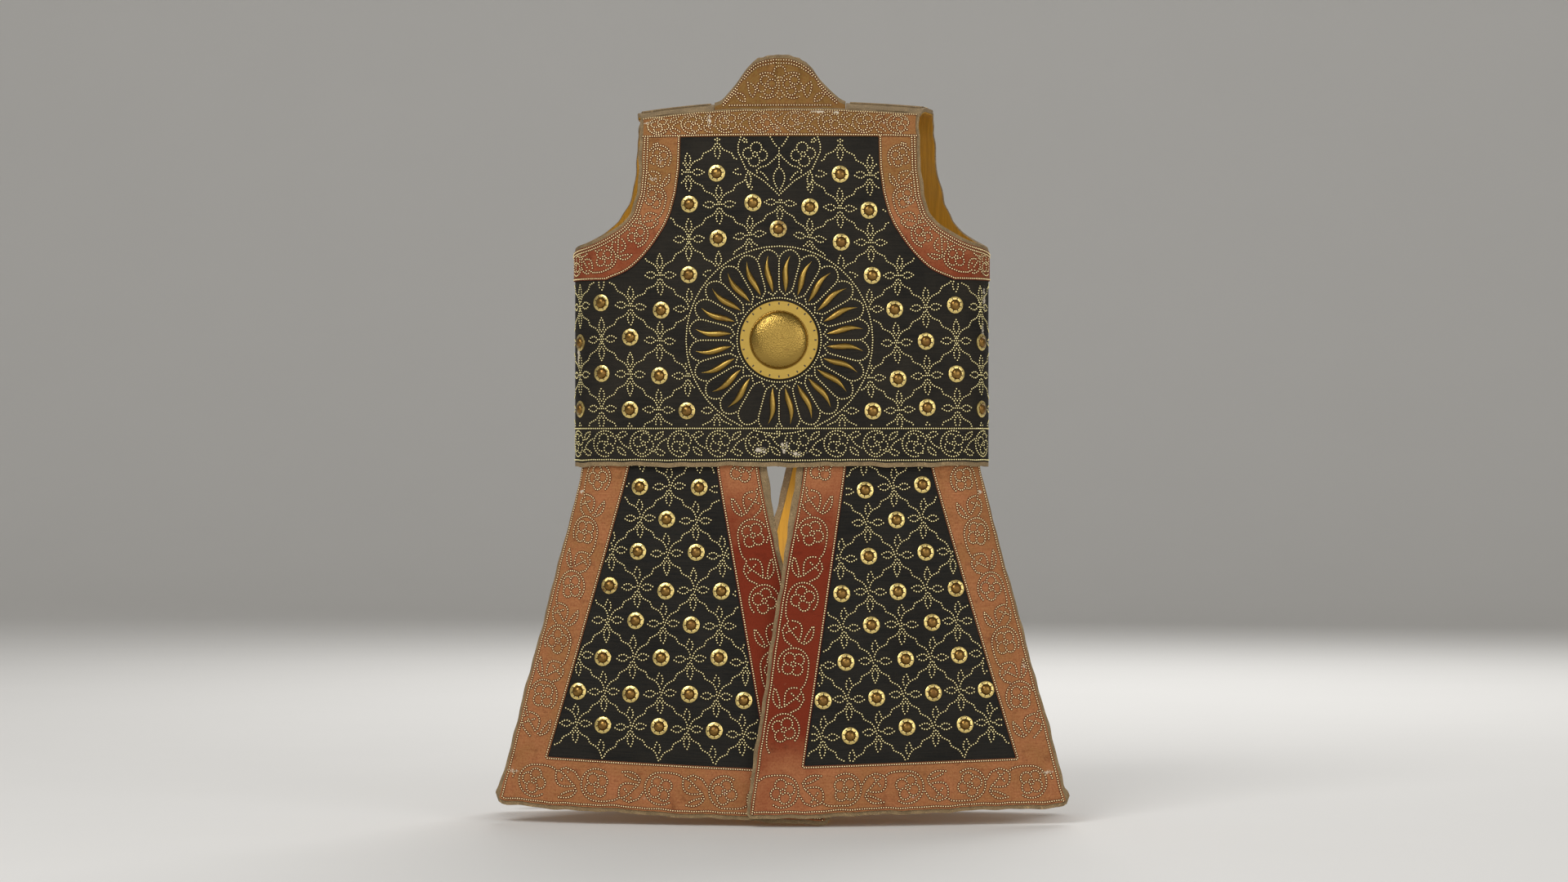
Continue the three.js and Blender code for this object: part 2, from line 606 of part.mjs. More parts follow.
for (const [side, first] of [["left", 0], ["right", backColumns - BAND_CELLS]]) {
  const within = (column) => column >= first && column < first + BAND_CELLS;
  const keep = (row, column) => row >= bandRow && row < topRow && within(column);
  const slit = (row, up) => (row === topRow ? up - SEAM_GAP : up);
  const grid = backGrid.map((row, index) => row.map(([around, up]) => [around, slit(index, up)]));
  finish(`back_armhole_band_${side}`, wall(onBack, grid, BAND_LIFT, LAY_GAP, keep), COLOUR.band);
}

// Fronts
const frontStuds = frontStudPlaces();
const frontBandRow = FRONT_ROWS.findIndex(({ up }) => up === BAND_FOOT);
const frontTopRow = FRONT_ROWS.findIndex(({ up }) => up === FRONT_TOP_FOOT);
for (const [name, side] of [["left", -1], ["right", 1]]) {
  const grid = frontLattice(side, frontRows);
  const studs = frontStuds
    .filter(({ around }) => around * side > 0)
    .map(({ around, up }) => studRings(onFront, (a, b) => [around + a, up + b]));
  finish(`front_panel_${name}`, studded(wall(onFront, grid, 0, -PANEL_WALL), studs), COLOUR.field);
  const lining = frontLattice(side, lowered(frontRows).slice(0, -1));
  const silk = wall(onFront, lining, LINING_LIFT, LINING_LIFT - LINING_WALL);
  finish(`front_lining_${name}`, silk, COLOUR.lining);
  const keep = (row, column) => {
    const outer = column >= TRIM_CELLS + FRONT_FIELD_CELLS && row >= frontBandRow;
    return column < TRIM_CELLS || outer || row >= frontTopRow;
  };
  finish(`front_border_${name}`, wall(onFront, grid, BAND_LIFT, LAY_GAP, keep), COLOUR.band);
}

// Skirts
const SKIRT_TOP_INSET = 0.004;
for (const skirt of SKIRTS) {
  const place = onSkirt(skirt);
  const grid = skirtLattice(skirt, 0);
  const studs = skirtStuds(skirt).map(({ across, down, width }) =>
    studRings(place, (a, b) => [across + a / width, down + b / (SKIRT_TOP - skirt.footOut)]));
  finish(`skirt_${skirt.name}`, studded(wall(place, grid, 0, -PANEL_WALL), studs), COLOUR.field);
  const lining = skirtLattice(skirt, SKIRT_TOP_INSET);
  const silk = wall(place, lining, LINING_LIFT, LINING_LIFT - LINING_WALL);
  finish(`skirt_lining_${skirt.name}`, silk, COLOUR.lining);
  const hemRow = SKIRT_ROWS.length + 2;
  const outerColumn = SKIRT_CELLS.inner + SKIRT_CELLS.field;
  const keep = (row, column) => row >= hemRow || column < SKIRT_CELLS.inner || column >= outerColumn;
  finish(`skirt_border_${skirt.name}`, wall(place, grid, BAND_LIFT, LAY_GAP, keep), COLOUR.band);
}

// Neck guard: follows the back neckline just inside it, curling forward towards its lobes' ends
const neckEdge = (across) => onBack(across, BACK_TOP, -PANEL_WALL);
const GUARD_HALF = GUARD_TOP.at(-1).across;
function guardPoint(across, rise, lift) {
  const edge = neckEdge(across);
  const reach = across / GUARD_HALF;
  const crest = read(GUARD_TOP, "across", Math.abs(across), "height");
  const height = THREE.MathUtils.lerp(edge.z - GUARD.lap, crest, rise);
  const above = Math.max(0, height - edge.z) / GUARD_TOP[0].height;
  const valley = Math.exp(-((across / GUARD_VALLEY) ** 2));
  const ridge = Math.exp(-(((Math.abs(across) - GUARD_RIDGE.from) / GUARD_RIDGE.width) ** 2));
  const fold = GUARD.fold * (valley - GUARD_RIDGE.share * ridge) * above;
  const bow = GUARD.curl * reach ** 2 * above - GUARD.lean * above * above;
  return new THREE.Vector3(across, edge.y + GUARD.gap + bow + fold + GUARD.wall - lift, height);
}
const guardGrid = spread(0, 1, GUARD.rows).map((rise) =>
  spread(-GUARD_HALF, GUARD_HALF, GUARD.columns).map((across) => [across, rise]));
finish("neck_guard", wall(guardPoint, guardGrid, GUARD.wall, 0), COLOUR.band);

// Sun
const dish = new THREE.LatheGeometry([
  new THREE.Vector2(0, 0),
  new THREE.Vector2(SUN.rim, 0),
  new THREE.Vector2(SUN.rim, SUN.plate),
  new THREE.Vector2(SUN.dome, SUN.plate),
  ...DISH_REACHES.map((reach) =>
    new THREE.Vector2(SUN.dome * reach, SUN.plate + SUN.dish * Math.sqrt(1 - reach * reach))),
  new THREE.Vector2(0, SUN.plate + SUN.dish),
], SUN.sides);
dish.rotateX(Math.PI);
const sunCentre = onBack(0, SUN.up, LAY_GAP);
dish.translate(sunCentre.x, sunCentre.y, sunCentre.z);
const dishMerged = mergeVertices(dish.deleteAttribute("uv").deleteAttribute("normal"), WELD);
finish("sun_boss", fromSolid(toSolid(dishMerged)), COLOUR.brass, 1);

function rayRings(angle) {
  const along = new THREE.Vector2(Math.sin(angle), Math.cos(angle));
  const beside = new THREE.Vector2(along.y, -along.x);
  return spread(0, 1, RAY.stations - 1).map((t) => {
    const length = THREE.MathUtils.lerp(RAY.start, RAY.end, t);
    const half = RAY.half * Math.max(RAY_TAPER.least, Math.sin(Math.PI * t ** RAY_TAPER.bias));
    const sway = RAY.sway * Math.sin(2 * Math.PI * t);
    const spot = (aside, lift) => {
      const off = sway + aside;
      return onBack(along.x * length + beside.x * off, SUN.up + along.y * length + beside.y * off, lift);
    };
    const { seat, tip, ridge } = RAY;
    return [spot(-half, seat), spot(half, seat), spot(0, seat + tip + ridge * (half / RAY.half))];
  });
}
for (let index = 0; index < RAY_PLACES; index += 1) {
  if (index === RAY_LOST) continue;
  const angle = (2 * Math.PI * (index + 0.5)) / RAY_PLACES;
  finish(`sun_ray_${String(index + 1).padStart(2, "0")}`, loft(rayRings(angle)), COLOUR.brass, 1);
}

export default coat;
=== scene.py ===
"""Studded coat of nails: layered cloth, red bands, brass rosettes, nail heads and a sun on the back."""

import math
from collections import namedtuple
from functools import partial

import bmesh
import bpy
import numpy as np
from bpy.props import FloatProperty, FloatVectorProperty, PointerProperty
from mathutils import Matrix, Vector


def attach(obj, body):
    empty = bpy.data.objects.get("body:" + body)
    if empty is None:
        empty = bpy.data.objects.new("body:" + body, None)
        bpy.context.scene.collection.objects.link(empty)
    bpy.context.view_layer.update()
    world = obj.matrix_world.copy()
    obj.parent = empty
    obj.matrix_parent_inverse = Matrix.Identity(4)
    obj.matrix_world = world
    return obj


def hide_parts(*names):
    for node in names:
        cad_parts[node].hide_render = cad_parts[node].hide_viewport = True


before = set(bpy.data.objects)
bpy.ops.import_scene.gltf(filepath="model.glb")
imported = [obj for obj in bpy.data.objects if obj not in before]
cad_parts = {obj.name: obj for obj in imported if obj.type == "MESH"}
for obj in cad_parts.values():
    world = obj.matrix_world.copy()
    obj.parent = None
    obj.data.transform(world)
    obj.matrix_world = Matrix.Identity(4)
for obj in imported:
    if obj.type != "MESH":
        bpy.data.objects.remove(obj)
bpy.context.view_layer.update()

bl_info = {
    "name": "Studded coat of nails",
    "version": (1, 0, 0),
    "blender": (4, 5, 0),
    "location": "View3D > Sidebar > Coat",
    "description": "Dresses the coat's frame with cloth, bands, linings, rosettes, nail heads and the sun",
    "category": "Object",
}

# Sizes of the coat, in millimetres
MM = 0.001

HALF_WIDTH = 240.5
HALF_DEPTH = 80.0
SIDE_RADIUS = 55.0
BODY_LENGTH = 417.0
LEAN_ANGLE = math.radians(6)
LEAN_LENGTH = 84.0
SHOULDER_RADIUS = 42.0
SHOULDER_HALF = 165.0
SHOULDER_DROP = {"left": 12.0, "right": 6.5}
SHOULDER_DROP_RUN = 50.0
BACK_EDGE_ANGLE = math.radians(52)
NECK_HALF = 76.0

PANEL_WALL = 4.5
LINING_WALL = 1.2
BAND_WALL = 1.2
LAY_GAP = 0.3
SEAM_GAP = 0.3
FRONT_GAP = 0.8
BAND_LIFT = LAY_GAP + BAND_WALL
LINING_LIFT = -PANEL_WALL - LAY_GAP
LINING_FOOT = 26.0

SIDE_CENTRE = HALF_WIDTH - SIDE_RADIUS
FLAT_RADIUS = (SIDE_CENTRE ** 2 + HALF_DEPTH ** 2 - SIDE_RADIUS ** 2) / (2 * (HALF_DEPTH - SIDE_RADIUS))
FLAT_TURN = math.atan2(SIDE_CENTRE, FLAT_RADIUS - HALF_DEPTH)
GIRTH = [
    (FLAT_RADIUS * FLAT_TURN, FLAT_TURN),
    (SIDE_RADIUS * (math.pi / 2 - FLAT_TURN), math.pi / 2 - FLAT_TURN),
]
QUARTER = sum(run for run, bend in GIRTH)
SIDE = QUARTER - SEAM_GAP / 2
LEAN_REACH = LEAN_LENGTH / LEAN_ANGLE
SHOULDER_TURN = math.pi / 2 - LEAN_ANGLE
STRAIGHT = BODY_LENGTH - LEAN_REACH * math.sin(LEAN_ANGLE) - SHOULDER_RADIUS * (1 - math.sin(LEAN_ANGLE))
CORNER = STRAIGHT + LEAN_LENGTH
FLAT_TOP = HALF_DEPTH - LEAN_REACH * (1 - math.cos(LEAN_ANGLE)) - SHOULDER_RADIUS * math.cos(LEAN_ANGLE)
PROFILE = [
    (STRAIGHT, 0), (LEAN_LENGTH, LEAN_ANGLE), (SHOULDER_RADIUS * SHOULDER_TURN, SHOULDER_TURN), (FLAT_TOP, 0),
]
CREST = CORNER + SHOULDER_RADIUS * SHOULDER_TURN + FLAT_TOP
BACK_TOP = CORNER + SHOULDER_RADIUS * (BACK_EDGE_ANGLE - LEAN_ANGLE)
FRONT_END = 2 * CREST - BACK_TOP - SEAM_GAP

BAND_FOOT = 211.0
FRONT_TOP_FOOT = 380.0
TOP_BAND_FOOT = 374.5
STRAP_BARE = 16.0
STRAP_FRAYED = 43.0
WAIST_ROW = 40.0
WAIST_BARE = 3.9
HEM_ROW = 5.6
HEM_FALL = 3.6


def table(names, *rows):
    """Read a short table into one array for each named column."""
    return dict(zip(names.split(), np.array(rows, float).T))


BACK_ROWS = table(
    "up edge band",
    (0, SIDE, 205), (211, SIDE, 206), (212.5, SIDE, 199), (217, SIDE, 186), (223, SIDE, 174),
    (231, SIDE, 164.5), (240, SIDE, 155.5), (249, SIDE, 148),
    (250.5, 252, 147), (253, 234, 145), (257, 218, 142), (263, 205, 138), (274, 186, 131),
    (288, 173, 125), (310, 166, 119), (339, 163, 115), (TOP_BAND_FOOT, 162, 114), (BACK_TOP, 162, 114),
)
FRONT_ROWS = table(
    "up neck trim band edge",
    (0, 0, 44, 206, SIDE), (211, 0, 44, 206, SIDE), (212.5, 0, 44, 200, SIDE), (217.5, 0, 44, 189, SIDE),
    (224, 0, 44, 179, SIDE), (233, 0, 44, 169, SIDE), (249, 0, 44, 156, SIDE),
    (253, 0, 44, 153, 256), (259, 0, 44, 148, 236), (269, 0, 44, 141, 215), (284, 0, 45, 135, 198),
    (304, 0, 48, 130, 184), (343, 0, 66, 126, 175), (349, 24, 72, 126, 174), (360, 45, 82, 126, 174),
    (380, 63, 92, 126, 173), (401, 72, 95, 126, 172), (422, NECK_HALF, 96, 126, 170),
    (443, NECK_HALF, 96, 126, 169), (CREST, NECK_HALF, 96, 126, 169),
    (2 * CREST - CORNER - SHOULDER_RADIUS * SHOULDER_TURN, NECK_HALF, 96, 122, 166),
    (2 * CREST - BACK_TOP - 8, NECK_HALF, 96, 122, 163), (FRONT_END, NECK_HALF, 96, 122, 162),
)
FRONT_REACH = {"out": 8.0, "from": 256.0, "full": 304.0, "gone": 560.0}

SKIRT_TOP = -398.0
SKIRT_SINK = 7.0
SKIRT_STRAIGHT = 22.0
SKIRT_HEM = {"depth": 116.0, "roundness": 1100.0, "strip": 57.0}
SKIRT_BORDER = {"inner": 58.5, "outer_top": 77.5, "outer_foot": 45.0}
SKIRT_LIFT_ACROSS = 0.62
SLIT_FRAY = {"waist": 9.0, "run": 150.0, "inside": 8.0}
SKIRT_SHOWS = 20.0
SkirtCut = namedtuple(
    "SkirtCut",
    "name face side waist_in waist_out hem_in hem_out foot_in foot_out stud_top stud_foot lift rise",
)
SKIRTS = [
    SkirtCut("back_left", -1, -1, 16.5, 249, -58, 327, -827, -808, 130, 140, -6, 0.3),
    SkirtCut("back_right", -1, 1, 21, 249, -37, 333, -820, -809, 128, 142, 6.5, 0.3),
    SkirtCut("front_left", 1, -1, 28, 249, -60, 330, -820, -808, 132, 138, 6.5, 0.1),
    SkirtCut("front_right", 1, 1, 6, 249, -105, 330, -820, -808, 128, 136, -6, 0.1),
]

GUARD = {"wall": 3.4, "lap": 9.0, "curl": 26.0, "lean": 7.0, "fold": 3.2, "half": 75.4, "top": 48.0}
GUARD_TOP = table(
    "across height",
    (-75.4, -2), (-67, 1), (-50, 20.3), (-44, 29), (-37.6, 37.4), (-27.7, 46.1), (-15.5, 49.3), (-4.4, 51.5),
    (11.6, 50.4), (23.8, 46.5), (36.1, 38.7), (46, 24), (58.3, 11.7), (68, 3.1), (75.4, -1),
)
Crease = namedtuple("Crease", "at slant width depth")
GUARD_CREASES = [
    Crease(-4.0, 0.05, 2.6, 2.4), Crease(-27.0, 0.3, 3.6, 1.9), Crease(21.0, 0.12, 3.4, 2.2),
    Crease(41.0, -0.35, 4.0, 1.4), Crease(-46.0, 0.4, 3.2, 1.2), Crease(9.0, -0.2, 2.4, 1.0),
]
GUARD_VALLEY = 8.0
GUARD_RIDGE = {"from": 26.0, "width": 10.0, "share": 0.7}
GUARD_GAP = 0.4

BODY_PITCH = {"across": 34.7, "down": 38.5, "first": -85.0, "rows": 8, "columns": 7, "bare": 20.0}
SKIRT_PITCH = {
    "across": 32.0, "down": 38.8, "first": -444.0, "tilt": 0.06, "rows": 8, "columns": 3, "shift": 8.5, "bare": 9.0,
}
ROSETTE_MARGIN = {"body": 4.0, "skirt": 1.0, "lap": 3.0}
SUN = {"up": 141.0, "rim": 44.8}
RAY_PLACES = 24
RAY_LOST = 13
RAY = {"start": 55.0, "end": 97.0, "half": 3.7, "ridge": 2.9, "sway": 2.8}

# Rosettes of the back stand a little off the lattice: distance round and up from the hem
BACK_ROSETTES = table(
    "across up",
    (-71.7, 332.1), (69.9, 330.7), (-103.4, 296.9), (-30, 298), (35.1, 293.1), (102.9, 289.5),
    (-70, 257.3), (-1, 268.1), (71, 252.9), (-104, 216.1), (106.6, 215),
    (-208.9, 184.8), (-136.5, 175.7), (132.6, 176.3), (203.5, 181.8),
    (-242.9, 139.5), (-173.3, 144.9), (169.1, 139.9), (242.9, 139.5),
    (-207.7, 103.4), (-138.6, 100.5), (136.6, 96.7), (205.3, 102.7),
    (-242.9, 62.5), (-173.7, 61.6), (-106.3, 60.2), (107.4, 59.9), (170.8, 64), (242.9, 62.5),
)
# Rosettes of the back skirts: distance out from the centre line and down from the skirt's top
SKIRT_ROSETTES = {
    "back_left": table(
        "across down",
        (91.9, 45.2), (164.4, 45.3), (130.9, 81.3), (95.2, 117.4), (165.2, 118),
        (65.4, 159.7), (131.1, 161.4), (198.7, 157.4), (100.5, 198), (166.4, 195.6),
        (68, 232.9), (135.6, 235.6), (204.5, 238.5), (39, 278.9), (102.2, 274.7), (170.7, 277.7), (233, 277.6),
        (73.1, 313.5), (136.8, 312), (202.5, 313.7),
    ),
    "back_right": table(
        "across down",
        (99, 48.8), (167.6, 43), (136.2, 82.6), (103.2, 122.9), (170.6, 119.5),
        (71.7, 164.2), (137.3, 163.2), (205.9, 160.9), (106.2, 199.8), (177.1, 198.7),
        (76.8, 240.5), (145.8, 239), (208.2, 236.2), (50.8, 282.4), (112.1, 281), (177.6, 277.5), (238.8, 275.9),
        (81.8, 322.2), (146.8, 314.7), (213.6, 314.1),
    ),
}


# Small sums
def lerp(start, end, share):
    return start + (end - start) * share


def smooth(value):
    share = np.clip(value, 0.0, 1.0)
    return share * share * (3 - 2 * share)


def read(rows, column, up):
    """A column at heights between the rows, its corners rounded a little."""
    steps = (-3.0, -1.5, 0.0, 1.5, 3.0)
    return np.mean([np.interp(np.asarray(up) + step, rows["up"], rows[column]) for step in steps], axis=0)


def front_edge(side, up):
    """Armhole edge of a front; the right one reaches a little further out."""
    edge = read(FRONT_ROWS, "edge", up)
    if side < 0:
        return edge
    grown = smooth((up - FRONT_REACH["from"]) / (FRONT_REACH["full"] - FRONT_REACH["from"]))
    faded = smooth((FRONT_REACH["gone"] - up) / (FRONT_REACH["gone"] - CREST))
    return edge + FRONT_REACH["out"] * grown * faded * (edge < SIDE - 1)


# Surfaces that the cloth is laid on
class Surface:
    """A curved face, given by places on the flat cut, with its outward side."""

    PROBE = 0.4

    def __init__(self, point, outward):
        self.point = point
        self.outward = outward

    def normal(self, x, y, probe=PROBE):
        along_x = self.point(x + probe, y) - self.point(x - probe, y)
        along_y = self.point(x, y + probe) - self.point(x, y - probe)
        normal = np.cross(along_x, along_y) * self.outward
        return normal / np.linalg.norm(normal, axis=1, keepdims=True)

    def place(self, x, y, lift=0.0):
        x, y = np.broadcast_arrays(np.asarray(x, float), np.asarray(y, float))
        return self.point(x, y) + self.normal(x, y) * np.reshape(lift, (-1, 1))


def walk(track, distance):
    """Place after a distance along lines and arcs; the first one runs back and the last one runs on."""
    ahead = np.zeros_like(distance)
    aside = np.zeros_like(distance)
    heading = 0.0
    start = 0.0
    for index, (run, bend) in enumerate(track):
        part = np.maximum(distance - start, 0.0) if index else distance
        if index < len(track) - 1:
            part = np.minimum(part, run)
        if bend:
            radius = run / bend
            turned = heading + part / radius
            ahead = ahead + radius * (np.sin(turned) - math.sin(heading))
            aside = aside + radius * (math.cos(heading) - np.cos(turned))
        else:
            ahead = ahead + part * math.cos(heading)
            aside = aside + part * math.sin(heading)
        heading += bend
        start += run
    return ahead, aside


def body_ripple(x, y):
    """Low unevenness of an old stiff panel, with the crease down its middle."""
    swell = 0.55 * np.sin(x / 41 + 0.8) * np.sin(y / 57 + 0.3) + 0.35 * np.sin(x / 23 - y / 37)
    crease = -0.9 * np.exp(-((x + 3) / 2.2) ** 2) * smooth((y - 20) / 40) * smooth((400 - y) / 30)
    open_field = smooth((np.hypot(x, y - SUN["up"]) - SUN["rim"] - 4) / 20)
    return (swell + crease) * open_field


def body_point(face, x, y):
    """Body's outer face: distance round from the centre line, distance up from the hem and over the shoulder."""
    over = y > CREST
    rise, leaned = walk(PROFILE, np.where(over, 2 * CREST - y, y))
    ahead, aside = walk(GIRTH, np.abs(x))
    across = np.sign(x) * ahead
    depth = (HALF_DEPTH - aside) * (1 - leaned / HALF_DEPTH)
    slope = smooth(1 - (BODY_LENGTH - rise) / SHOULDER_DROP_RUN)
    low_side = np.where(across < 0, SHOULDER_DROP["left"], SHOULDER_DROP["right"])
    drop = low_side * (across / SHOULDER_HALF) ** 2 * slope
    ripple = body_ripple(x, y) * smooth((SIDE - np.abs(x)) / 40) * (1 - slope)
    way = np.where(over, -face, face)
    return np.stack([across, way * (depth + ripple), rise - BODY_LENGTH - drop], axis=-1)


BACK = Surface(partial(body_point, -1), 1)
FRONT = Surface(partial(body_point, 1), -1)


def skirt_drop(cut):
    return SKIRT_TOP - cut.foot_out


def skirt_edges(cut, y):
    down = y / skirt_drop(cut)
    return lerp(cut.waist_in, cut.hem_in, down), lerp(cut.waist_out, cut.hem_out, down)


def skirt_seams(cut, y):
    down = y / skirt_drop(cut)
    inner, outer = skirt_edges(cut, y)
    return (
        inner + SKIRT_BORDER["inner"],
        outer - lerp(SKIRT_BORDER["outer_top"], SKIRT_BORDER["outer_foot"], down),
    )


def slit_fray(raw, y):
    """Width of the frayed edge beside the slit, widest at the waist."""
    return lerp(SLIT_FRAY["waist"], raw, smooth((y - SKIRT_SHOWS) / SLIT_FRAY["run"]))


def skirt_point(cut, x, y):
    """Skirt's outer face: lines from inside the body's hem down to a rounded and slightly waved foot."""
    down = y / skirt_drop(cut)
    inner, outer = skirt_edges(cut, y)
    across = (x - inner) / (outer - inner)
    waist = BACK if cut.face < 0 else FRONT
    top = waist.place(cut.side * lerp(cut.waist_in, cut.waist_out, across), np.zeros_like(x), -SKIRT_SINK)
    hem_x = cut.side * lerp(cut.hem_in, cut.hem_out, across)
    hem_y = cut.face * (SKIRT_HEM["depth"] - hem_x ** 2 / (2 * SKIRT_HEM["roundness"]))
    foot = lerp(cut.foot_in, cut.foot_out, across)
    start = SKIRT_STRAIGHT / (SKIRT_TOP - foot)
    share = (down - start) / (1 - start)
    spread = (share + np.sqrt(share ** 2 + 0.0012)) / 2
    lap = cut.lift * smooth(spread / cut.rise) * (1 - smooth(across / SKIRT_LIFT_ACROSS))
    world_x = lerp(top[..., 0], hem_x, spread)
    wave = 2.2 * np.sin(world_x / 49 + 0.6) * spread ** 2 + 0.4 * np.sin(world_x / 17 + y / 29) * spread
    height = lerp(SKIRT_TOP, foot, down)
    return np.stack([world_x, lerp(top[..., 1], hem_y, spread) + cut.face * (lap + wave), height], axis=-1)


SKIRT_FACES = {cut.name: Surface(partial(skirt_point, cut), cut.face * cut.side) for cut in SKIRTS}


def guard_foot(x):
    return BACK.place(x, np.full_like(x, BACK_TOP), -PANEL_WALL)


def guard_top(x):
    steps = (-2.5, 0, 2.5)
    return np.mean([np.interp(x + step, GUARD_TOP["across"], GUARD_TOP["height"]) for step in steps], axis=0)


def guard_point(x, y):
    """Neck guard's outer face: a lobed collar that curls forward at its ends and is creased down its middle."""
    foot = guard_foot(x)
    above = np.maximum(0.0, y - foot[..., 2]) / GUARD["top"]
    ridge = np.exp(-((np.abs(x) - GUARD_RIDGE["from"]) / GUARD_RIDGE["width"]) ** 2)
    valley = np.exp(-(x / GUARD_VALLEY) ** 2) - GUARD_RIDGE["share"] * ridge
    crumple = 0.9 * np.sin(x / 6.5 + y / 9) * np.sin(x / 17 - 0.7) * above
    for crease in GUARD_CREASES:
        off = (x - crease.at - crease.slant * (y - foot[..., 2])) / crease.width
        crumple = crumple + crease.depth * np.exp(-off ** 2) * smooth(above * 2.5)
    curl = GUARD["curl"] * (x / GUARD["half"]) ** 2 * above - GUARD["lean"] * above ** 2
    ahead = foot[..., 1] + GUARD_GAP + curl + GUARD["fold"] * valley * above + crumple
    return np.stack([x, ahead, y], axis=-1)


NECK = Surface(guard_point, 1)


# Lines on the flat cut
def points(*pairs):
    return np.array(pairs, float)


def xy(x, y):
    """Places from their two coordinates."""
    return np.stack([x, y], axis=-1)


def lengths(line):
    return np.concatenate([[0.0], np.cumsum(np.linalg.norm(np.diff(line, axis=0), axis=1))])


def evenly(line, count):
    """The line again, as places at equal distances along it."""
    run = lengths(line)
    at = np.linspace(0, run[-1], count)
    return np.stack([np.interp(at, run, line[:, axis]) for axis in range(2)], axis=-1)


def follow(line, along, aside):
    """Places beside a line, by the distance along it and the distance to its left."""
    run = lengths(line)
    at = np.stack([np.interp(along, run, line[:, axis]) for axis in range(2)], axis=-1)
    reach = 3.0
    ends = [np.stack([np.interp(np.clip(along + step, 0, run[-1]), run, line[:, axis]) for axis in range(2)], -1)
            for step in (-reach, reach)]
    way = ends[1] - ends[0]
    way /= np.maximum(np.linalg.norm(way, axis=1, keepdims=True), 1e-6)
    beyond = along - np.clip(along, 0, run[-1])
    left = xy(-way[:, 1], way[:, 0])
    return at + way * np.reshape(beyond, (-1, 1)) + left * np.reshape(aside, (-1, 1))


def beside(line, aside):
    """The whole line moved to its left."""
    run = lengths(evenly(line, 160))[-1]
    return follow(evenly(line, 160), np.linspace(0, run, 160), np.full(160, aside))


def ring(centre, radius, start=0.0, sweep=360.0):
    angle = np.radians(np.linspace(start, start + sweep, max(8, int(abs(sweep) / 8))))
    return xy(centre[0] + radius * np.cos(angle), centre[1] + radius * np.sin(angle))


def leaf(base, tip, half, bend=0.0):
    """Outline of a pointed leaf, its middle line bent to one side."""
    base, tip = np.array(base, float), np.array(tip, float)
    way = tip - base
    left = np.array([-way[1], way[0]]) / np.linalg.norm(way)
    share = np.linspace(0, 1, 14)
    width = half * np.sin(np.pi * share ** 0.8)
    middle = base + np.outer(share, way) + np.outer(bend * np.sin(np.pi * share), left)
    sides = [middle + np.outer(width, left), middle - np.outer(width, left)]
    return np.concatenate([sides[0], sides[1][::-1]])


def flower(radius, turn=0.0):
    """Four round petals about a small ring: their outer outline, and the lines between them."""
    reach, petal = 0.54 * radius, 0.46 * radius
    centres = [(reach * math.cos(a), reach * math.sin(a)) for a in np.radians([45, 135, 225, 315])]
    lines = [ring((0, 0), 0.2 * radius)]
    for index, centre in enumerate(centres):
        outline = ring(centre, petal, 45 + 90 * index - 128, 256)
        lines.append(outline)
        notch = 0.62 * radius
        side = np.radians(90 * index)
        way = np.array([math.cos(side), math.sin(side)])
        lines.append(np.array([way * 0.34 * radius, way * notch]))
    spin = np.array([[math.cos(turn), math.sin(turn)], [-math.sin(turn), math.cos(turn)]])
    return [line @ spin for line in lines]


SPRIG = {"pitch": 72.0, "half": 22.0, "arch": 1.27}


def sprig(bloom, half, step, turn):
    """One turn of a vine along its strip: a flower under an arched stem, a broad leaf and a narrow one."""
    grown = np.array([step / SPRIG["pitch"], half / SPRIG["half"]])
    reach = min(SPRIG["arch"] * bloom, half)
    lines = [ring((0, 0), reach, -90, 215), points((0, -1), (-0.6, -1.02), (-1.15, -0.94), (-1.5, -0.72)) * reach]
    leaves = [leaf((-26, -14), (-47, 3), 6.6, -4.5), points((-32, -3), (-39, -13))]
    leaves += [leaf((-49, 9), (-27, 17), 3.4, 1.5)]
    leaves += [points((-26, -14), (-37, -18), (-47, -14), (-54, -3)), points((-47, 3), (-49, 9))]
    return flower(bloom, turn) + lines + [line * grown for line in leaves]


def scroll(bloom, half, step, turn):
    """One turn of the narrow waist vine: a flower in an open ring, with three small leaves after it."""
    room = step / 2
    lines = [ring((-1.5, 0), min(1.2 * bloom, half), 38, 284)]
    lines.append(leaf((0.62 * room, 0.3 * half), (1.12 * room, 0.92 * half), 2.8, 0.8))
    lines.append(leaf((0.62 * room, -0.5 * half), (1.2 * room, -0.85 * half), 3.0, -0.8))
    lines.append(points((0.55 * room, -0.62 * half), (0.9 * room, 0.1 * half), (1.2 * room, 0.35 * half)))
    return flower(bloom, turn) + lines


def vine(path, bloom, half, pitch, first=1, motif=sprig, lead=None):
    """A scrolling stem along a strip, with a flower in each turn, on alternate sides.

    lead is the distance to the first flower; without it the flowers are spread evenly.
    """
    path = evenly(path, 200)
    length = lengths(path)[-1]
    count = max(1, round(length / pitch))
    step = length / count if lead is None else pitch
    lead = step / 2 if lead is None else lead
    lines = []
    for turn in range(count + 1):
        side = first if turn % 2 == 0 else -first
        for line in motif(bloom, half, step, 0.5 * math.sin(7.3 * turn + length)):
            along = lead + turn * step + line[:, 0]
            if along.max() < length + 0.02 * step and along.min() > -0.02 * step:
                lines.append(follow(path, along, side * line[:, 1]))
    return lines


LATTICE_PETALS = [
    ((5.2, 0), (18.8, 0), 3.6), ((-5.2, 0), (-18.8, 0), 3.6),
    ((0, 8.5), (0, 23.5), 3.3), ((0, -8.5), (0, -23.5), 3.3),
]
LATTICE_LINK = points((0, 0), (.05, .11), (.12, .24), (.23, .33), (.46, .42), (.54, .58), (.77, .67), (.88, .76),
                      (.95, .89), (1, 1))


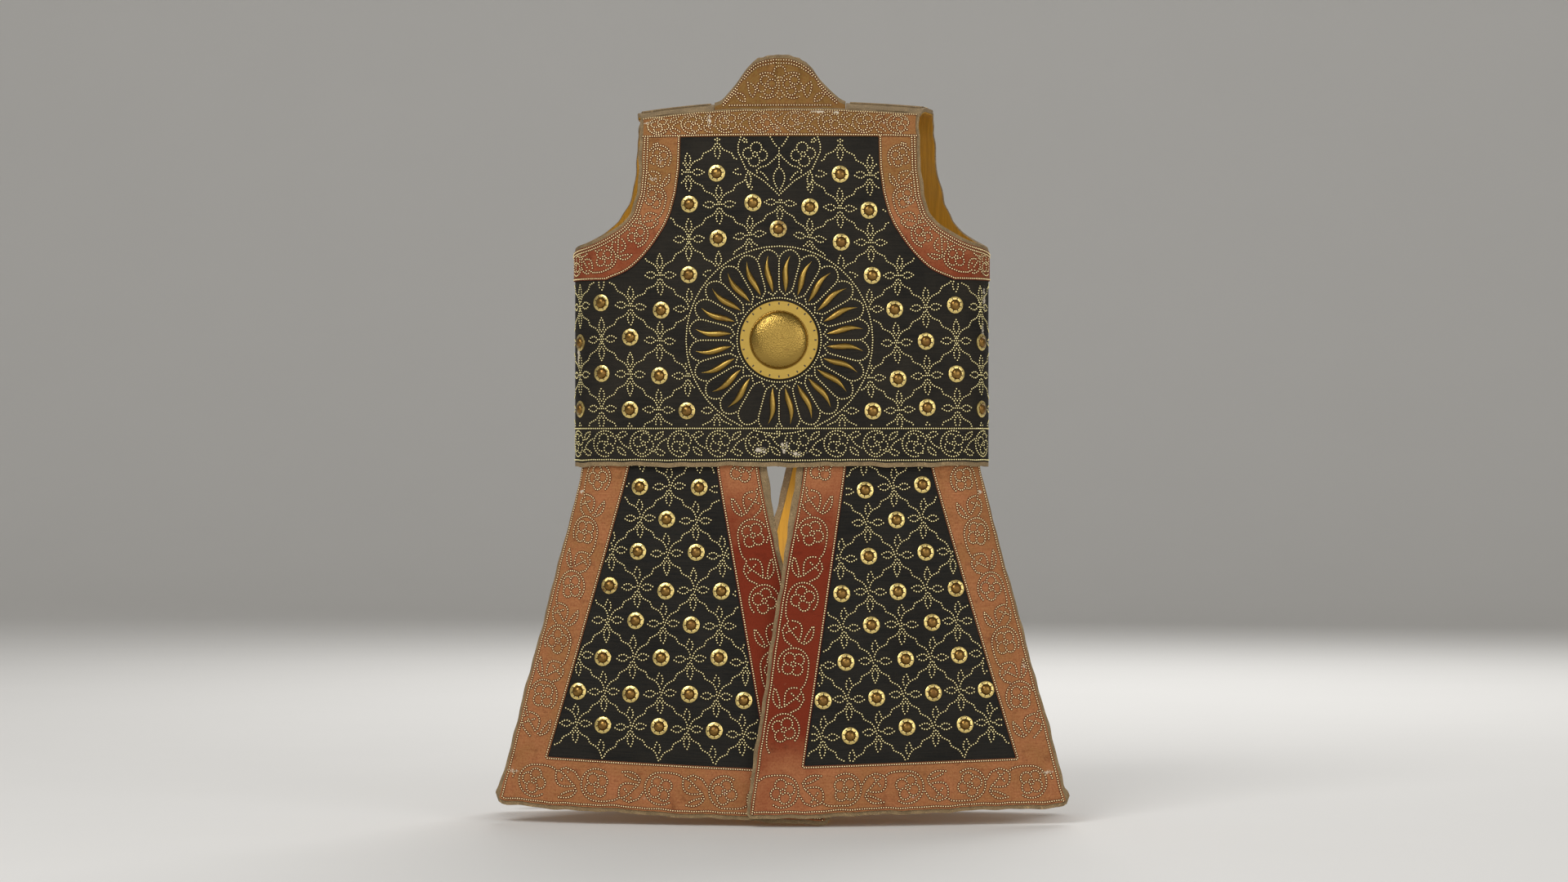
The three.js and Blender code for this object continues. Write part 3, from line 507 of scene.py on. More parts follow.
def lattice(centres, across, down, top=math.inf):
    """Four-leaved flowers at the lattice places, joined to their diagonal neighbours by notched links."""
    lines = []
    for x, y in centres:
        at = np.array([x, y])
        petals = [petal for petal in LATTICE_PETALS if y < top or not petal[0][0]]
        lines += [leaf(at + base, at + tip, half) for base, tip, half in petals]
        lines += [at + points((0, -4.5), (0, 4.5)), at + points((-2.6, 0), (2.6, 0))]
        lines += [at + LATTICE_LINK * (across, -down), at + LATTICE_LINK * (-across, -down)]
    return lines


SETTLE_REACH = 30.0
SETTLE_FLOOR = 0.05


def settle(lines, sites, spots):
    """Lines moved along with the rosettes, which stand a little off their lattice sites."""
    sites = np.array(sites)
    gaps = np.hypot(spots[:, None, 0] - sites[:, 0], spots[:, None, 1] - sites[:, 1])
    homes = sites[np.argmin(gaps, axis=1)]
    moved = []
    for line in lines:
        far = np.hypot(line[:, None, 0] - homes[:, 0], line[:, None, 1] - homes[:, 1])
        pull = np.exp(-0.5 * (far / SETTLE_REACH) ** 2)
        moved.append(line + pull @ (spots - homes) / (pull.sum(axis=1, keepdims=True) + SETTLE_FLOOR))
    return moved


SEAM_PITCH = 0.9
CROWDED = 0.72


def nail_places(lines, pitch, allowed, seams=()):
    """Nails at an even pitch along every line, where they are allowed and clear of the nails before them.

    The third number of a place is 1 in a row along a seam and 0 elsewhere.
    """
    runs = [(line, SEAM_PITCH * pitch, 1) for line in seams] + [(line, pitch, 0) for line in lines]
    rows = []
    for line, step, in_seam in runs:
        row = evenly(line, max(2, round(lengths(line)[-1] / step) + 1))
        rows.append(np.column_stack([row, np.full(len(row), in_seam)]))
    spots = np.concatenate(rows)
    spots = spots[allowed(spots[:, 0], spots[:, 1])]
    near = CROWDED * pitch
    taken = {}
    kept = []
    for x, y, in_seam in spots:
        column, row = int(x // near), int(y // near)
        around = [taken.get((column + a, row + b), ()) for a in (-1, 0, 1) for b in (-1, 0, 1)]
        if all(math.hypot(x - other[0], y - other[1]) >= near for cell in around for other in cell):
            taken.setdefault((column, row), []).append((x, y))
            kept.append((x, y, in_seam))
    return np.array(kept)


def gap_to(line, x, y):
    """Distance from each place to the nearest part of a line."""
    dense = evenly(line, 240)
    return np.min(np.hypot(x[:, None] - dense[:, 0], y[:, None] - dense[:, 1]), axis=1)


def inset_edge(rows_up, edge, by):
    """An edge moved in from the cut by a distance, as a width at each height."""
    line = xy(edge, rows_up)
    way = np.gradient(line, axis=0)
    way /= np.linalg.norm(way, axis=1, keepdims=True)
    moved = line + by * xy(-way[:, 1], way[:, 0])
    order = np.argsort(moved[:, 1])
    return lambda up: np.interp(up, moved[order, 1], moved[order, 0])


# Cut lines of each panel
EDGE_REACH = 11.0
CORNER_REACH = 27.0
CORNER_RADIUS = {"outer": 12.0, "inner": 5.0}
RAGGED_WAVES = [(0.7, 21.0, 1.0), (0.5, 8.3, 2.1), (0.35, 4.4, 3.7)]


def ragged(at, phase):
    """Small unevenness along a cut edge."""
    return sum(depth * np.sin(at / length + turn * phase) for depth, length, turn in RAGGED_WAVES)


def rounding(gap, radius):
    """How far a round corner lies above the square one, at a gap from the side."""
    short = radius - np.clip(gap, 0, radius)
    return radius - np.sqrt(radius ** 2 - short ** 2)


def body_trim(edge_at, top, x, y):
    """Places on a body panel, with the armhole, the hem and the top edge a little uneven."""
    side = np.sign(x)
    rim = edge_at(y)
    near = (1 - smooth((rim - np.abs(x)) / EDGE_REACH)) * (rim < SIDE - 1)
    high = smooth((y - top + EDGE_REACH) / EDGE_REACH)
    low = 1 - smooth(y / EDGE_REACH)
    return x - side * near * ragged(y, 1.0 + side), y + low * (ragged(x, 4.0) - HEM_FALL) - high * ragged(x, 2.0)


def skirt_trim(cut, x, y):
    """Places on a skirt, with uneven edges and rounded foot corners."""
    foot = skirt_drop(cut)
    inner, outer = skirt_edges(cut, y)
    near = 1 - smooth((x - inner) / EDGE_REACH)
    far = 1 - smooth((outer - x) / EDGE_REACH)
    low = smooth((y - foot + CORNER_REACH) / CORNER_REACH)
    corners = rounding(outer - x, CORNER_RADIUS["outer"]) + rounding(x - inner, CORNER_RADIUS["inner"])
    phase = cut.face + 2.0 * cut.side
    return (
        x + near * ragged(y, phase) - far * ragged(y, phase + 1),
        y - low * (corners + ragged(x, phase + 2)),
    )


BACK_TRIM = partial(body_trim, partial(read, BACK_ROWS, "edge"), BACK_TOP)
FRONT_TRIMS = {"left": partial(body_trim, partial(front_edge, -1), FRONT_END),
               "right": partial(body_trim, partial(front_edge, 1), FRONT_END)}


def patches(*rows):
    """Worn places, each a soft spot: its middle, its half width and height, and its strength."""
    def worn(x, y):
        spots = []
        for at, up, wide, tall, depth in rows:
            spots.append(depth * np.exp(-((x - at) / wide) ** 2 - ((y - up) / tall) ** 2))
        return np.sum(spots, axis=0)
    return worn


UPS = np.unique(np.concatenate([
    np.linspace(0, BAND_FOOT, 56), np.linspace(BAND_FOOT, 230, 16), np.linspace(230, 300, 54),
    np.linspace(300, TOP_BAND_FOOT, 26), np.linspace(TOP_BAND_FOOT, BACK_TOP, 14),
]))
FRONT_UPS = np.unique(np.concatenate([
    np.linspace(0, BAND_FOOT, 48), np.linspace(BAND_FOOT, 230, 14), np.linspace(230, 300, 44),
    np.linspace(300, 338, 10), np.linspace(338, FRONT_TOP_FOOT, 24), np.linspace(FRONT_TOP_FOOT, FRONT_END, 46),
]))
DENSE = np.linspace(244, BACK_TOP, 160)
FRONT_DENSE = np.linspace(244, FRONT_END, 220)


def back_armhole(side):
    """Cut edge of the back's armhole, from the side seam up."""
    return xy(side * read(BACK_ROWS, "edge", DENSE), DENSE)


def back_seam(side):
    """Seam of the armhole band, from the side seam to the top band."""
    up = np.linspace(BAND_FOOT, TOP_BAND_FOOT, 90)
    curve = xy(side * read(BACK_ROWS, "band", up), up)
    return np.concatenate([points((side * SIDE, BAND_FOOT)), curve])


def front_armhole(side):
    return xy(side * front_edge(side, FRONT_DENSE), FRONT_DENSE)


def front_neck(side):
    return xy(side * np.maximum(read(FRONT_ROWS, "neck", FRONT_UPS), FRONT_GAP / 2), FRONT_UPS)


def front_seams(side):
    """Seam of the centre and neck trim, and of the armhole band."""
    trim_up = np.linspace(0, FRONT_TOP_FOOT, 90)
    band_up = np.linspace(BAND_FOOT, FRONT_TOP_FOOT, 90)
    trim = xy(side * read(FRONT_ROWS, "trim", trim_up), trim_up)
    band = xy(side * read(FRONT_ROWS, "band", band_up), band_up)
    return trim, np.concatenate([points((side * SIDE, BAND_FOOT)), band])


def back_across(inset, u, y):
    """Places across the back, or across its lining, which is set in from the armholes."""
    return (2 * u - 1) * np.minimum(read(BACK_ROWS, "edge", y) - inset, SIDE)


def front_across(side, inset, u, y):
    near = np.maximum(read(FRONT_ROWS, "neck", y) + inset, FRONT_GAP / 2)
    return side * lerp(near, np.minimum(front_edge(side, y) - inset, SIDE), u)


def skirt_across(cut, inner_inset, outer_inset, u, y):
    inner, outer = skirt_edges(cut, y)
    return lerp(inner + inner_inset, outer - outer_inset, u)


def in_thirds(stops, u):
    """Places across a border: an edge strip, the field between and the other edge strip."""
    thirds = np.clip([3 * u, 3 * u - 1, 3 * u - 2], 0, 1)
    return stops[0] + sum((b - a) * t for a, b, t in zip(stops, stops[1:], thirds))


def skirt_lines(cut):
    """A skirt's cut edges and its border's seams, from the waist down, and along the hem from the inner corner."""
    foot = skirt_drop(cut)
    seam_foot = foot - SKIRT_HEM["strip"]
    y = np.linspace(0, foot, 60)
    y_seam = np.linspace(SKIRT_SHOWS, seam_foot, 60)
    inner, outer = skirt_edges(cut, y)
    inner_seam, outer_seam = skirt_seams(cut, y_seam)
    ends = skirt_edges(cut, foot)
    seam_ends = skirt_seams(cut, seam_foot)
    return {
        "inner": xy(inner, y),
        "outer": xy(outer, y),
        "hem": points((ends[0], foot), (ends[1], foot)),
        "inner_seam": xy(inner_seam, y_seam),
        "outer_seam": xy(outer_seam, y_seam),
        "hem_seam": points((seam_ends[0], seam_foot), (seam_ends[1], seam_foot)),
    }


# Rosettes: places on the chequered lattice
def columns(rows, *names):
    return np.stack([rows[name] for name in names], axis=-1)


def front_rosettes(side, radius):
    """Rosette places on one front, on the lattice and clear of the bands."""
    margin = radius + ROSETTE_MARGIN["body"]
    seam = front_seams(1)[1]
    spots = []
    for x, up in body_centres(0):
        reach = abs(x)
        limit = SIDE - margin if up < BAND_FOOT else read(FRONT_ROWS, "band", up)
        clear = reach <= limit and gap_to(seam, np.array([reach]), np.array([up]))[0] > margin
        beside_trim = x * side >= read(FRONT_ROWS, "trim", up) + margin
        if clear and beside_trim and margin + WAIST_ROW < up < FRONT_TOP_FOOT - margin:
            spots.append((x, up))
    return np.array(spots)


def skirt_rosettes(cut, radius):
    """Rosette places on a skirt; on the fronts they are shifted a little where they would touch the border."""
    if cut.name in SKIRT_ROSETTES:
        return columns(SKIRT_ROSETTES[cut.name], "across", "down")
    margin = radius + ROSETTE_MARGIN["skirt"]
    foot = skirt_drop(cut) - SKIRT_HEM["strip"]
    cover = next(other for other in SKIRTS if other.face == cut.face and other.side != cut.side)
    spots = []
    for row, column, wanted, y in skirt_sites(cut, 1):
        inner, outer = skirt_seams(cut, y)
        x = min(max(wanted, inner + margin), outer - margin)
        allowed = SKIRT_PITCH["shift"] if abs(column) == SKIRT_PITCH["columns"] else 1.0
        hidden = cut.lift < 0 and x + skirt_edges(cover, y)[0] < radius + ROSETTE_MARGIN["lap"]
        if abs(wanted - x) < allowed and 0 <= row < SKIRT_PITCH["rows"] and foot - y > margin and not hidden:
            spots.append((x, y))
    return np.array(spots)


# Shader nodes
def add(tree, kind, inputs=None, **settings):
    """A node with its settings, and its inputs set or linked."""
    node = tree.nodes.new(kind)
    for name, value in settings.items():
        setattr(node, name, value)
    for key, value in (inputs or {}).items():
        if isinstance(value, bpy.types.NodeSocket):
            tree.links.new(value, node.inputs[key])
        else:
            node.inputs[key].default_value = value
    return node


def sums(tree, operation, *values):
    return add(tree, "ShaderNodeMath", dict(enumerate(values)), operation=operation).outputs[0]


def remap(tree, value, low, high, to_low=0.0, to_high=1.0):
    inputs = {"Value": value, "From Min": low, "From Max": high, "To Min": to_low, "To Max": to_high}
    return add(tree, "ShaderNodeMapRange", inputs).outputs["Result"]


def blend(tree, mask, first, second):
    node = add(tree, "ShaderNodeMix", {0: mask, 6: first, 7: second}, data_type="RGBA")
    return node.outputs[2]


def noise(tree, vector, scale, detail=3.0, roughness=0.55):
    inputs = {"Vector": vector, "Scale": scale, "Detail": detail, "Roughness": roughness}
    return add(tree, "ShaderNodeTexNoise", inputs).outputs["Fac"]


def group(name, values, outputs):
    """An empty shader node group that reads a place and some named values."""
    tree = bpy.data.node_groups.new(name, "ShaderNodeTree")
    tree.interface.new_socket("Vector", in_out="INPUT", socket_type="NodeSocketVector")
    for label, value in values.items():
        tree.interface.new_socket(label, in_out="INPUT", socket_type="NodeSocketFloat").default_value = value
    for label in outputs:
        tree.interface.new_socket(label, in_out="OUTPUT", socket_type="NodeSocketFloat")
    return tree, add(tree, "NodeGroupInput").outputs, add(tree, "NodeGroupOutput")


def place_group(tree, made, **inputs):
    return add(tree, "ShaderNodeGroup", inputs, node_tree=made).outputs


def weave_group():
    """Plain weave: threads over and under, and threads that differ in tone."""
    if "Weave" in bpy.data.node_groups:
        return bpy.data.node_groups["Weave"]
    tree, given, result = group("Weave", {"Threads": 900.0}, ["Height", "Tone"])
    axes = add(tree, "ShaderNodeSeparateXYZ", {0: given["Vector"]}).outputs
    turn = sums(tree, "MULTIPLY", given["Threads"], 2 * math.pi)
    across = sums(tree, "SINE", sums(tree, "MULTIPLY", axes[0], turn))
    down = sums(tree, "SINE", sums(tree, "MULTIPLY", axes[1], turn))
    tree.links.new(remap(tree, sums(tree, "MULTIPLY", across, down), -1.0, 1.0), result.inputs["Height"])
    stretched = add(tree, "ShaderNodeMapping", {"Vector": given["Vector"], "Scale": (30.0, 700.0, 1.0)}).outputs[0]
    tree.links.new(noise(tree, stretched, 1.0, 2.0), result.inputs["Tone"])
    return tree


def wear_group():
    """Old cloth: broad fading, fine grain, and rubbed spots where the nap has gone."""
    if "Cloth wear" in bpy.data.node_groups:
        return bpy.data.node_groups["Cloth wear"]
    tree, given, result = group("Cloth wear", {"Scale": 18.0, "Rubbed": 0.4}, ["Fading", "Grain", "Rubbed"])
    broad = noise(tree, given["Vector"], given["Scale"], 5.0, 0.6)
    tree.links.new(remap(tree, broad, 0.3, 0.7), result.inputs["Fading"])
    tree.links.new(noise(tree, given["Vector"], 420.0, 4.0, 0.65), result.inputs["Grain"])
    spots = noise(tree, given["Vector"], sums(tree, "MULTIPLY", given["Scale"], 2.7), 8.0, 0.68)
    edge = sums(tree, "SUBTRACT", 0.86, sums(tree, "MULTIPLY", given["Rubbed"], 0.4))
    tree.links.new(remap(tree, spots, edge, sums(tree, "ADD", edge, 0.09)), result.inputs["Rubbed"])
    return tree


def tarnish_group():
    """Old brass: brown bloom in patches, and small pits and hammer marks."""
    if "Tarnish" in bpy.data.node_groups:
        return bpy.data.node_groups["Tarnish"]
    tree, given, result = group("Tarnish", {"Scale": 60.0, "Amount": 0.4}, ["Bloom", "Height"])
    spots = noise(tree, given["Vector"], given["Scale"], 6.0, 0.62)
    low = sums(tree, "SUBTRACT", 0.72, sums(tree, "MULTIPLY", given["Amount"], 0.4))
    tree.links.new(remap(tree, spots, low, sums(tree, "ADD", low, 0.22)), result.inputs["Bloom"])
    marks = {"Vector": given["Vector"], "Scale": sums(tree, "MULTIPLY", given["Scale"], 4.0)}
    pits = add(tree, "ShaderNodeTexVoronoi", marks).outputs["Distance"]
    tree.links.new(pits, result.inputs["Height"])
    return tree


def pin_group():
    """A ring of short dark pin marks about the middle of a plate, read from the plate's own flat map."""
    if "Pin marks" in bpy.data.node_groups:
        return bpy.data.node_groups["Pin marks"]
    values = {"Count": 8.0, "Radius": 0.0066, "Length": 0.002, "Width": 0.0009}
    tree, given, result = group("Pin marks", values, ["Mask"])
    axes = add(tree, "ShaderNodeSeparateXYZ", {0: given["Vector"]}).outputs
    radius = add(tree, "ShaderNodeVectorMath", {0: given["Vector"]}, operation="LENGTH").outputs["Value"]
    turn = sums(tree, "MULTIPLY", sums(tree, "ARCTAN2", axes[1], axes[0]), given["Count"])
    swing = sums(tree, "ARCCOSINE", sums(tree, "MINIMUM", sums(tree, "COSINE", turn), 0.9999))
    aside = sums(tree, "MULTIPLY", sums(tree, "DIVIDE", swing, given["Count"]), radius)
    ahead = sums(tree, "ABSOLUTE", sums(tree, "SUBTRACT", radius, given["Radius"]))
    thin = sums(tree, "LESS_THAN", aside, sums(tree, "MULTIPLY", given["Width"], 0.5))
    short = sums(tree, "LESS_THAN", ahead, sums(tree, "MULTIPLY", given["Length"], 0.5))
    tree.links.new(sums(tree, "MULTIPLY", thin, short), result.inputs["Mask"])
    return tree


def material(name):
    """A new material with its shader, or the one already made."""
    made = bpy.data.materials.get(name)
    if made:
        return made, None, None
    made = bpy.data.materials.new(name)
    made.use_nodes = True
    tree = made.node_tree
    return made, tree, tree.nodes["Principled BSDF"]


def rgba(colour, shade=1.0):
    return (*(min(1.0, shade * part) for part in colour), 1.0)


def cut_map(tree):
    return add(tree, "ShaderNodeUVMap", uv_map="cut").outputs["UV"]


def faded(tree):
    return add(tree, "ShaderNodeAttribute", attribute_name="fade").outputs["Fac"]


def torn(tree, flat):
    """Mask of the worn places, with a ragged edge."""
    worn = add(tree, "ShaderNodeAttribute", attribute_name="worn").outputs["Fac"]
    edge = remap(tree, noise(tree, flat, 260.0, 5.0, 0.7), 0.25, 0.75, -0.45, 0.45)
    return remap(tree, sums(tree, "ADD", worn, edge), 0.52, 0.64, 0.0, 0.9)


def bump(tree, shader, height, distance, strength=1.0):
    node = add(tree, "ShaderNodeBump", {"Height": height, "Distance": distance, "Strength": strength})
    tree.links.new(node.outputs["Normal"], shader.inputs["Normal"])


def field_cloth(colours):
    """Dark field of the panels: near-black cloth, cooler on the skirts, with level creases and rubbed spots."""
    made, tree, shader = material("dark_field")
    if tree is None:
        return made
    flat = cut_map(tree)
    wear = place_group(tree, wear_group(), Vector=flat, Scale=16.0, Rubbed=0.42)
    weave = place_group(tree, weave_group(), Vector=flat, Threads=1100.0)
    ground = blend(tree, faded(tree), rgba(colours.field_cool), rgba(colours.field_warm))
    tone = blend(tree, wear["Fading"], rgba(colours.field_cool, 0.6), ground)
    lit = blend(tree, remap(tree, weave["Tone"], 0.35, 0.75, 0.0, 0.35), tone, rgba(colours.field_worn, 0.55))
    rubbed = blend(tree, sums(tree, "MULTIPLY", wear["Rubbed"], 0.4), lit, rgba(colours.field_worn))
    colour = blend(tree, torn(tree, flat), rubbed, rgba(colours.torn))
    tree.links.new(colour, shader.inputs["Base Color"])
    tree.links.new(remap(tree, wear["Grain"], 0.3, 0.7, 0.62, 0.86), shader.inputs["Roughness"])
    level = add(tree, "ShaderNodeMapping", {"Vector": flat, "Scale": (9.0, 75.0, 1.0)}).outputs[0]
    creases = noise(tree, level, 1.0, 3.0)
    fine = sums(tree, "MULTIPLY", sums(tree, "ADD", wear["Grain"], weave["Height"]), 0.12)
    bump(tree, shader, sums(tree, "ADD", creases, fine), 0.0022, 0.5)
    shader.inputs["Specular IOR Level"].default_value = 0.12
    return made


def band_cloth(colours):
    """Red cloth of the bands, faded from deep red to rose and to tan, with pale threadbare spots and stains."""
    made, tree, shader = material("red_band")
    if tree is None:
        return made
    flat = cut_map(tree)
    wear = place_group(tree, wear_group(), Vector=flat, Scale=22.0, Rubbed=0.5)
    weave = place_group(tree, weave_group(), Vector=flat, Threads=950.0)
    drift = sums(tree, "ADD", faded(tree), remap(tree, wear["Fading"], 0.0, 1.0, -0.14, 0.14))
    ramp = add(tree, "ShaderNodeValToRGB", {"Fac": drift})
    stops = ramp.color_ramp.elements
    stops[0].color = rgba(colours.band_red)
    stops[1].color = rgba(colours.band_tan)
    stops.new(0.5).color = rgba(colours.band_rose)
    threads = remap(tree, weave["Tone"], 0.3, 0.8, 0.0, 0.3)
    dark = blend(tree, threads, ramp.outputs["Color"], rgba(colours.band_red, 0.6))
    mottled = blend(tree, remap(tree, wear["Grain"], 0.44, 0.66, 0.0, 0.42), dark, rgba(colours.band_red, 0.9))
    stain = remap(tree, noise(tree, flat, 47.0, 6.0, 0.7), 0.56, 0.72, 0.0, 0.5)
    stained = blend(tree, stain, mottled, rgba(colours.band_red, 0.35))
    rubbed = blend(tree, sums(tree, "MULTIPLY", wear["Rubbed"], 0.6), stained, rgba(colours.band_worn))
    colour = blend(tree, torn(tree, flat), rubbed, rgba(colours.torn))
    tree.links.new(colour, shader.inputs["Base Color"])
    tree.links.new(remap(tree, wear["Grain"], 0.3, 0.7, 0.78, 0.95), shader.inputs["Roughness"])
    puckers = noise(tree, flat, 130.0, 3.0)
    fine = sums(tree, "MULTIPLY", sums(tree, "ADD", wear["Grain"], weave["Height"]), 0.25)
    bump(tree, shader, sums(tree, "ADD", puckers, fine), 0.0012, 0.6)
    shader.inputs["Specular IOR Level"].default_value = 0.1
    return made


def lining_cloth(colours):
    """Mustard lining: streaked silk with soft folds."""
    made, tree, shader = material("mustard_lining")
    if tree is None:
        return made
    flat = cut_map(tree)
    wear = place_group(tree, wear_group(), Vector=flat, Scale=14.0, Rubbed=0.35)
    weave = place_group(tree, weave_group(), Vector=flat, Threads=800.0)
    long = add(tree, "ShaderNodeMapping", {"Vector": flat, "Scale": (260.0, 12.0, 1.0)}).outputs[0]
    streaks = noise(tree, long, 1.0, 5.0, 0.65)
    tone = blend(tree, remap(tree, streaks, 0.3, 0.72), rgba(colours.lining, 0.7), rgba(colours.lining, 1.1))
    aged = blend(tree, sums(tree, "MULTIPLY", wear["Fading"], 0.35), tone, rgba(colours.raw_edge, 0.7))
    colour = blend(tree, sums(tree, "MULTIPLY", wear["Rubbed"], 0.5), aged, rgba(colours.raw_edge))
    tree.links.new(colour, shader.inputs["Base Color"])
    tree.links.new(remap(tree, streaks, 0.3, 0.7, 0.66, 0.84), shader.inputs["Roughness"])
    bump(tree, shader, sums(tree, "ADD", streaks, sums(tree, "MULTIPLY", weave["Height"], 0.2)), 0.0014, 0.6)
    shader.inputs["Specular IOR Level"].default_value = 0.12
    return made


def edge_cloth(colours):
    """Bare frayed edge of the layered cloth, grey to tan, with dark gaps between the threads."""
    made, tree, shader = material("frayed_edge")
    if tree is None:
        return made
    flat = cut_map(tree)
    wear = place_group(tree, wear_group(), Vector=flat, Scale=70.0, Rubbed=0.7)
    threads = noise(tree, flat, 900.0, 6.0, 0.75)
    tone = blend(tree, wear["Fading"], rgba(colours.raw_edge, 0.6), rgba(colours.raw_edge))
    gaps = remap(tree, threads, 0.36, 0.52, 1.0, 0.0)
    colour = blend(tree, sums(tree, "MULTIPLY", gaps, 0.7), tone, rgba(colours.raw_edge, 0.16))
    pale = blend(tree, sums(tree, "MULTIPLY", wear["Rubbed"], 0.6), colour, rgba(colours.raw_edge, 1.7))
    tree.links.new(pale, shader.inputs["Base Color"])
    tree.links.new(remap(tree, threads, 0.3, 0.7, 0.95, 0.8), shader.inputs["Roughness"])
    bump(tree, shader, threads, 0.0012, 0.9)
    return made


def shade_ring_cloth(name, colour):
    """Dark ring about each nail head: painted shade where the head meets the cloth, with some browning of the cloth by
    the metal.
    """
    made, tree, shader = material(name)
    if tree is None:
        return made
    spot = add(tree, "ShaderNodeTexCoord").outputs["Object"]
    tone = blend(tree, noise(tree, spot, 160.0), rgba(colour, 0.7), rgba(colour, 1.3))
    tree.links.new(tone, shader.inputs["Base Color"])
    shader.inputs["Roughness"].default_value = 0.9
    shader.inputs["Specular IOR Level"].default_value = 0.1
    return made


def brass(name, colour, dark, roughness, scale, amount, pins=None, aged=0.0, dents=(0.0004, 0.35), metal=1.0):
    """Old brass, with brown bloom in patches and, on a plate, its ring of pin marks."""
    made, tree, shader = material(name)
    if tree is None:
        return made
    spot = add(tree, "ShaderNodeTexCoord").outputs["Object"]
    if aged:
        tone = add(tree, "ShaderNodeAttribute", attribute_name="tone").outputs["Fac"]
        amount = remap(tree, tone, 0.0, 1.0, amount, amount + aged)
    tarnish = place_group(tree, tarnish_group(), Vector=spot, Scale=scale, Amount=amount)
    tone = blend(tree, tarnish["Bloom"], rgba(colour), rgba(dark))
    if pins:
        plate = add(tree, "ShaderNodeUVMap", uv_map="plate").outputs["UV"]
        marks = place_group(tree, pin_group(), Vector=plate, **pins)["Mask"]
        tone = blend(tree, marks, tone, rgba(dark, 0.12))
        tree.links.new(sums(tree, "SUBTRACT", 1.0, marks), shader.inputs["Metallic"])
    else:
        shader.inputs["Metallic"].default_value = metal
    tree.links.new(tone, shader.inputs["Base Color"])
    rough = remap(tree, tarnish["Bloom"], 0.0, 1.0, roughness, roughness + 0.22)
    tree.links.new(rough, shader.inputs["Roughness"])
    bump(tree, shader, tarnish["Height"], *dents)
    return made


# Making pieces
def finished_mesh(name, shape, finishes):
    """The modelled shape as a mesh with its finishes."""
    mesh = bpy.data.meshes.new(name)
    shape.to_mesh(mesh)
    shape.free()
    for finish in finishes:
        mesh.materials.append(finish)
    return mesh


def link_piece(name, mesh, nodes):
    """A finished piece that rides on the coat and stands for its nodes."""
    piece = bpy.data.objects.new(name, mesh)
    bpy.context.scene.collection.objects.link(piece)
    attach(piece, "root")
    if nodes:
        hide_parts(*nodes)
    return piece


Cut = namedtuple("Cut", "surface ys across cells trim", defaults=[None])
Layer = namedtuple("Layer", "slot lift wall")
PANEL = Layer("field", 0.0, PANEL_WALL)
LINING = Layer("lining", LINING_LIFT, LINING_WALL)
BAND = Layer("band", BAND_LIFT, BAND_WALL)
COLLAR = Layer("band", 0.0, GUARD["wall"])
CELLS = {
    "back_panel": 140, "front_panel": 76, "skirt": 90, "back_lining": 90, "front_lining": 50, "skirt_lining": 60,
    "top_band": 90, "armhole_band": 34, "front_border": 45, "skirt_border": 60, "neck_guard": 110,
}
ROWS = {"skirt": 110, "skirt_lining": 80, "border_side": 90, "border_foot": 16, "neck_guard": 44}


def valued(rule, x, y):
    """A rule's value at each place; a plain number holds everywhere."""
    return np.broadcast_to(rule(x, y) if callable(rule) else rule, x.shape)


def lay_cloth(node, cut, layer, finishes, keep=None, bare=None, fade=0.5, worn=0.0):
    """A sheet made from a grid on the flat cut, laid on its surface and given its wall inwards.

    keep and bare choose cells by their place across the cells and on the cut; bare cells show the frayed edge.
    """
    rows = len(cut.ys) - 1
    sheet = bmesh.new()
    bmesh.ops.create_grid(sheet, x_segments=cut.cells, y_segments=rows, size=0.5)
    sheet.verts.index_update()
    flat = np.array([vert.co for vert in sheet.verts]) + 0.5
    y = np.asarray(cut.ys)[np.rint(flat[:, 1] * rows).astype(int)]
    x = cut.across(flat[:, 0], y)
    spots = cut.surface.place(*(cut.trim(x, y) if cut.trim else (x, y)), layer.lift) * MM
    fade_layer = sheet.verts.layers.float.new("fade")
    worn_layer = sheet.verts.layers.float.new("worn")
    for vert, spot, value, loss in zip(sheet.verts, spots, valued(fade, x, y), valued(worn, x, y)):
        vert.co = spot
        vert[fade_layer] = value
        vert[worn_layer] = loss
    map_layer = sheet.loops.layers.uv.new("cut")
    corners = np.array([[vert.index for vert in face.verts] for face in sheet.faces])
    middle = [part[corners].mean(axis=1) for part in (flat[:, 0], x, y)]
    edged = np.zeros(len(corners), bool) if bare is None else bare(*middle[1:])
    kept = np.ones(len(corners), bool) if keep is None else keep(middle[0], middle[2])
    for face, edge in zip(sheet.faces, edged):
        face.smooth = True
        face.material_index = int(edge)
        for loop in face.loops:
            loop[map_layer].uv = (x[loop.vert.index] * MM, y[loop.vert.index] * MM)
    bmesh.ops.delete(sheet, geom=[face for face, stays in zip(sheet.faces, kept) if not stays], context="FACES")
    sheet.normal_update()
    sheet.faces.ensure_lookup_table()
    probe = sheet.faces[0]
    at = probe.loops[0][map_layer].uv / MM
    if probe.normal.dot(Vector(cut.surface.normal(np.array([at.x]), np.array([at.y]))[0])) < 0:
        bmesh.ops.reverse_faces(sheet, faces=sheet.faces[:])
    for edge in sheet.edges:
        edge.smooth = not edge.is_boundary
    area = sum(face.calc_area() for face in sheet.faces)
    name = node + "_cloth"
    piece = link_piece(name, finished_mesh(name, sheet, finishes), [node])
    thicken = piece.modifiers.new("wall", "SOLIDIFY")
    thicken.thickness = layer.wall * MM
    thicken.offset = -1.0
    thicken.material_offset = 2
    thicken.material_offset_rim = 0
    return piece, area, (np.ptp(x) * MM, np.ptp(y) * MM)


def declare_panel(piece, area, size, held, *rests_on):
    area = min(area, size[0] * size[1])


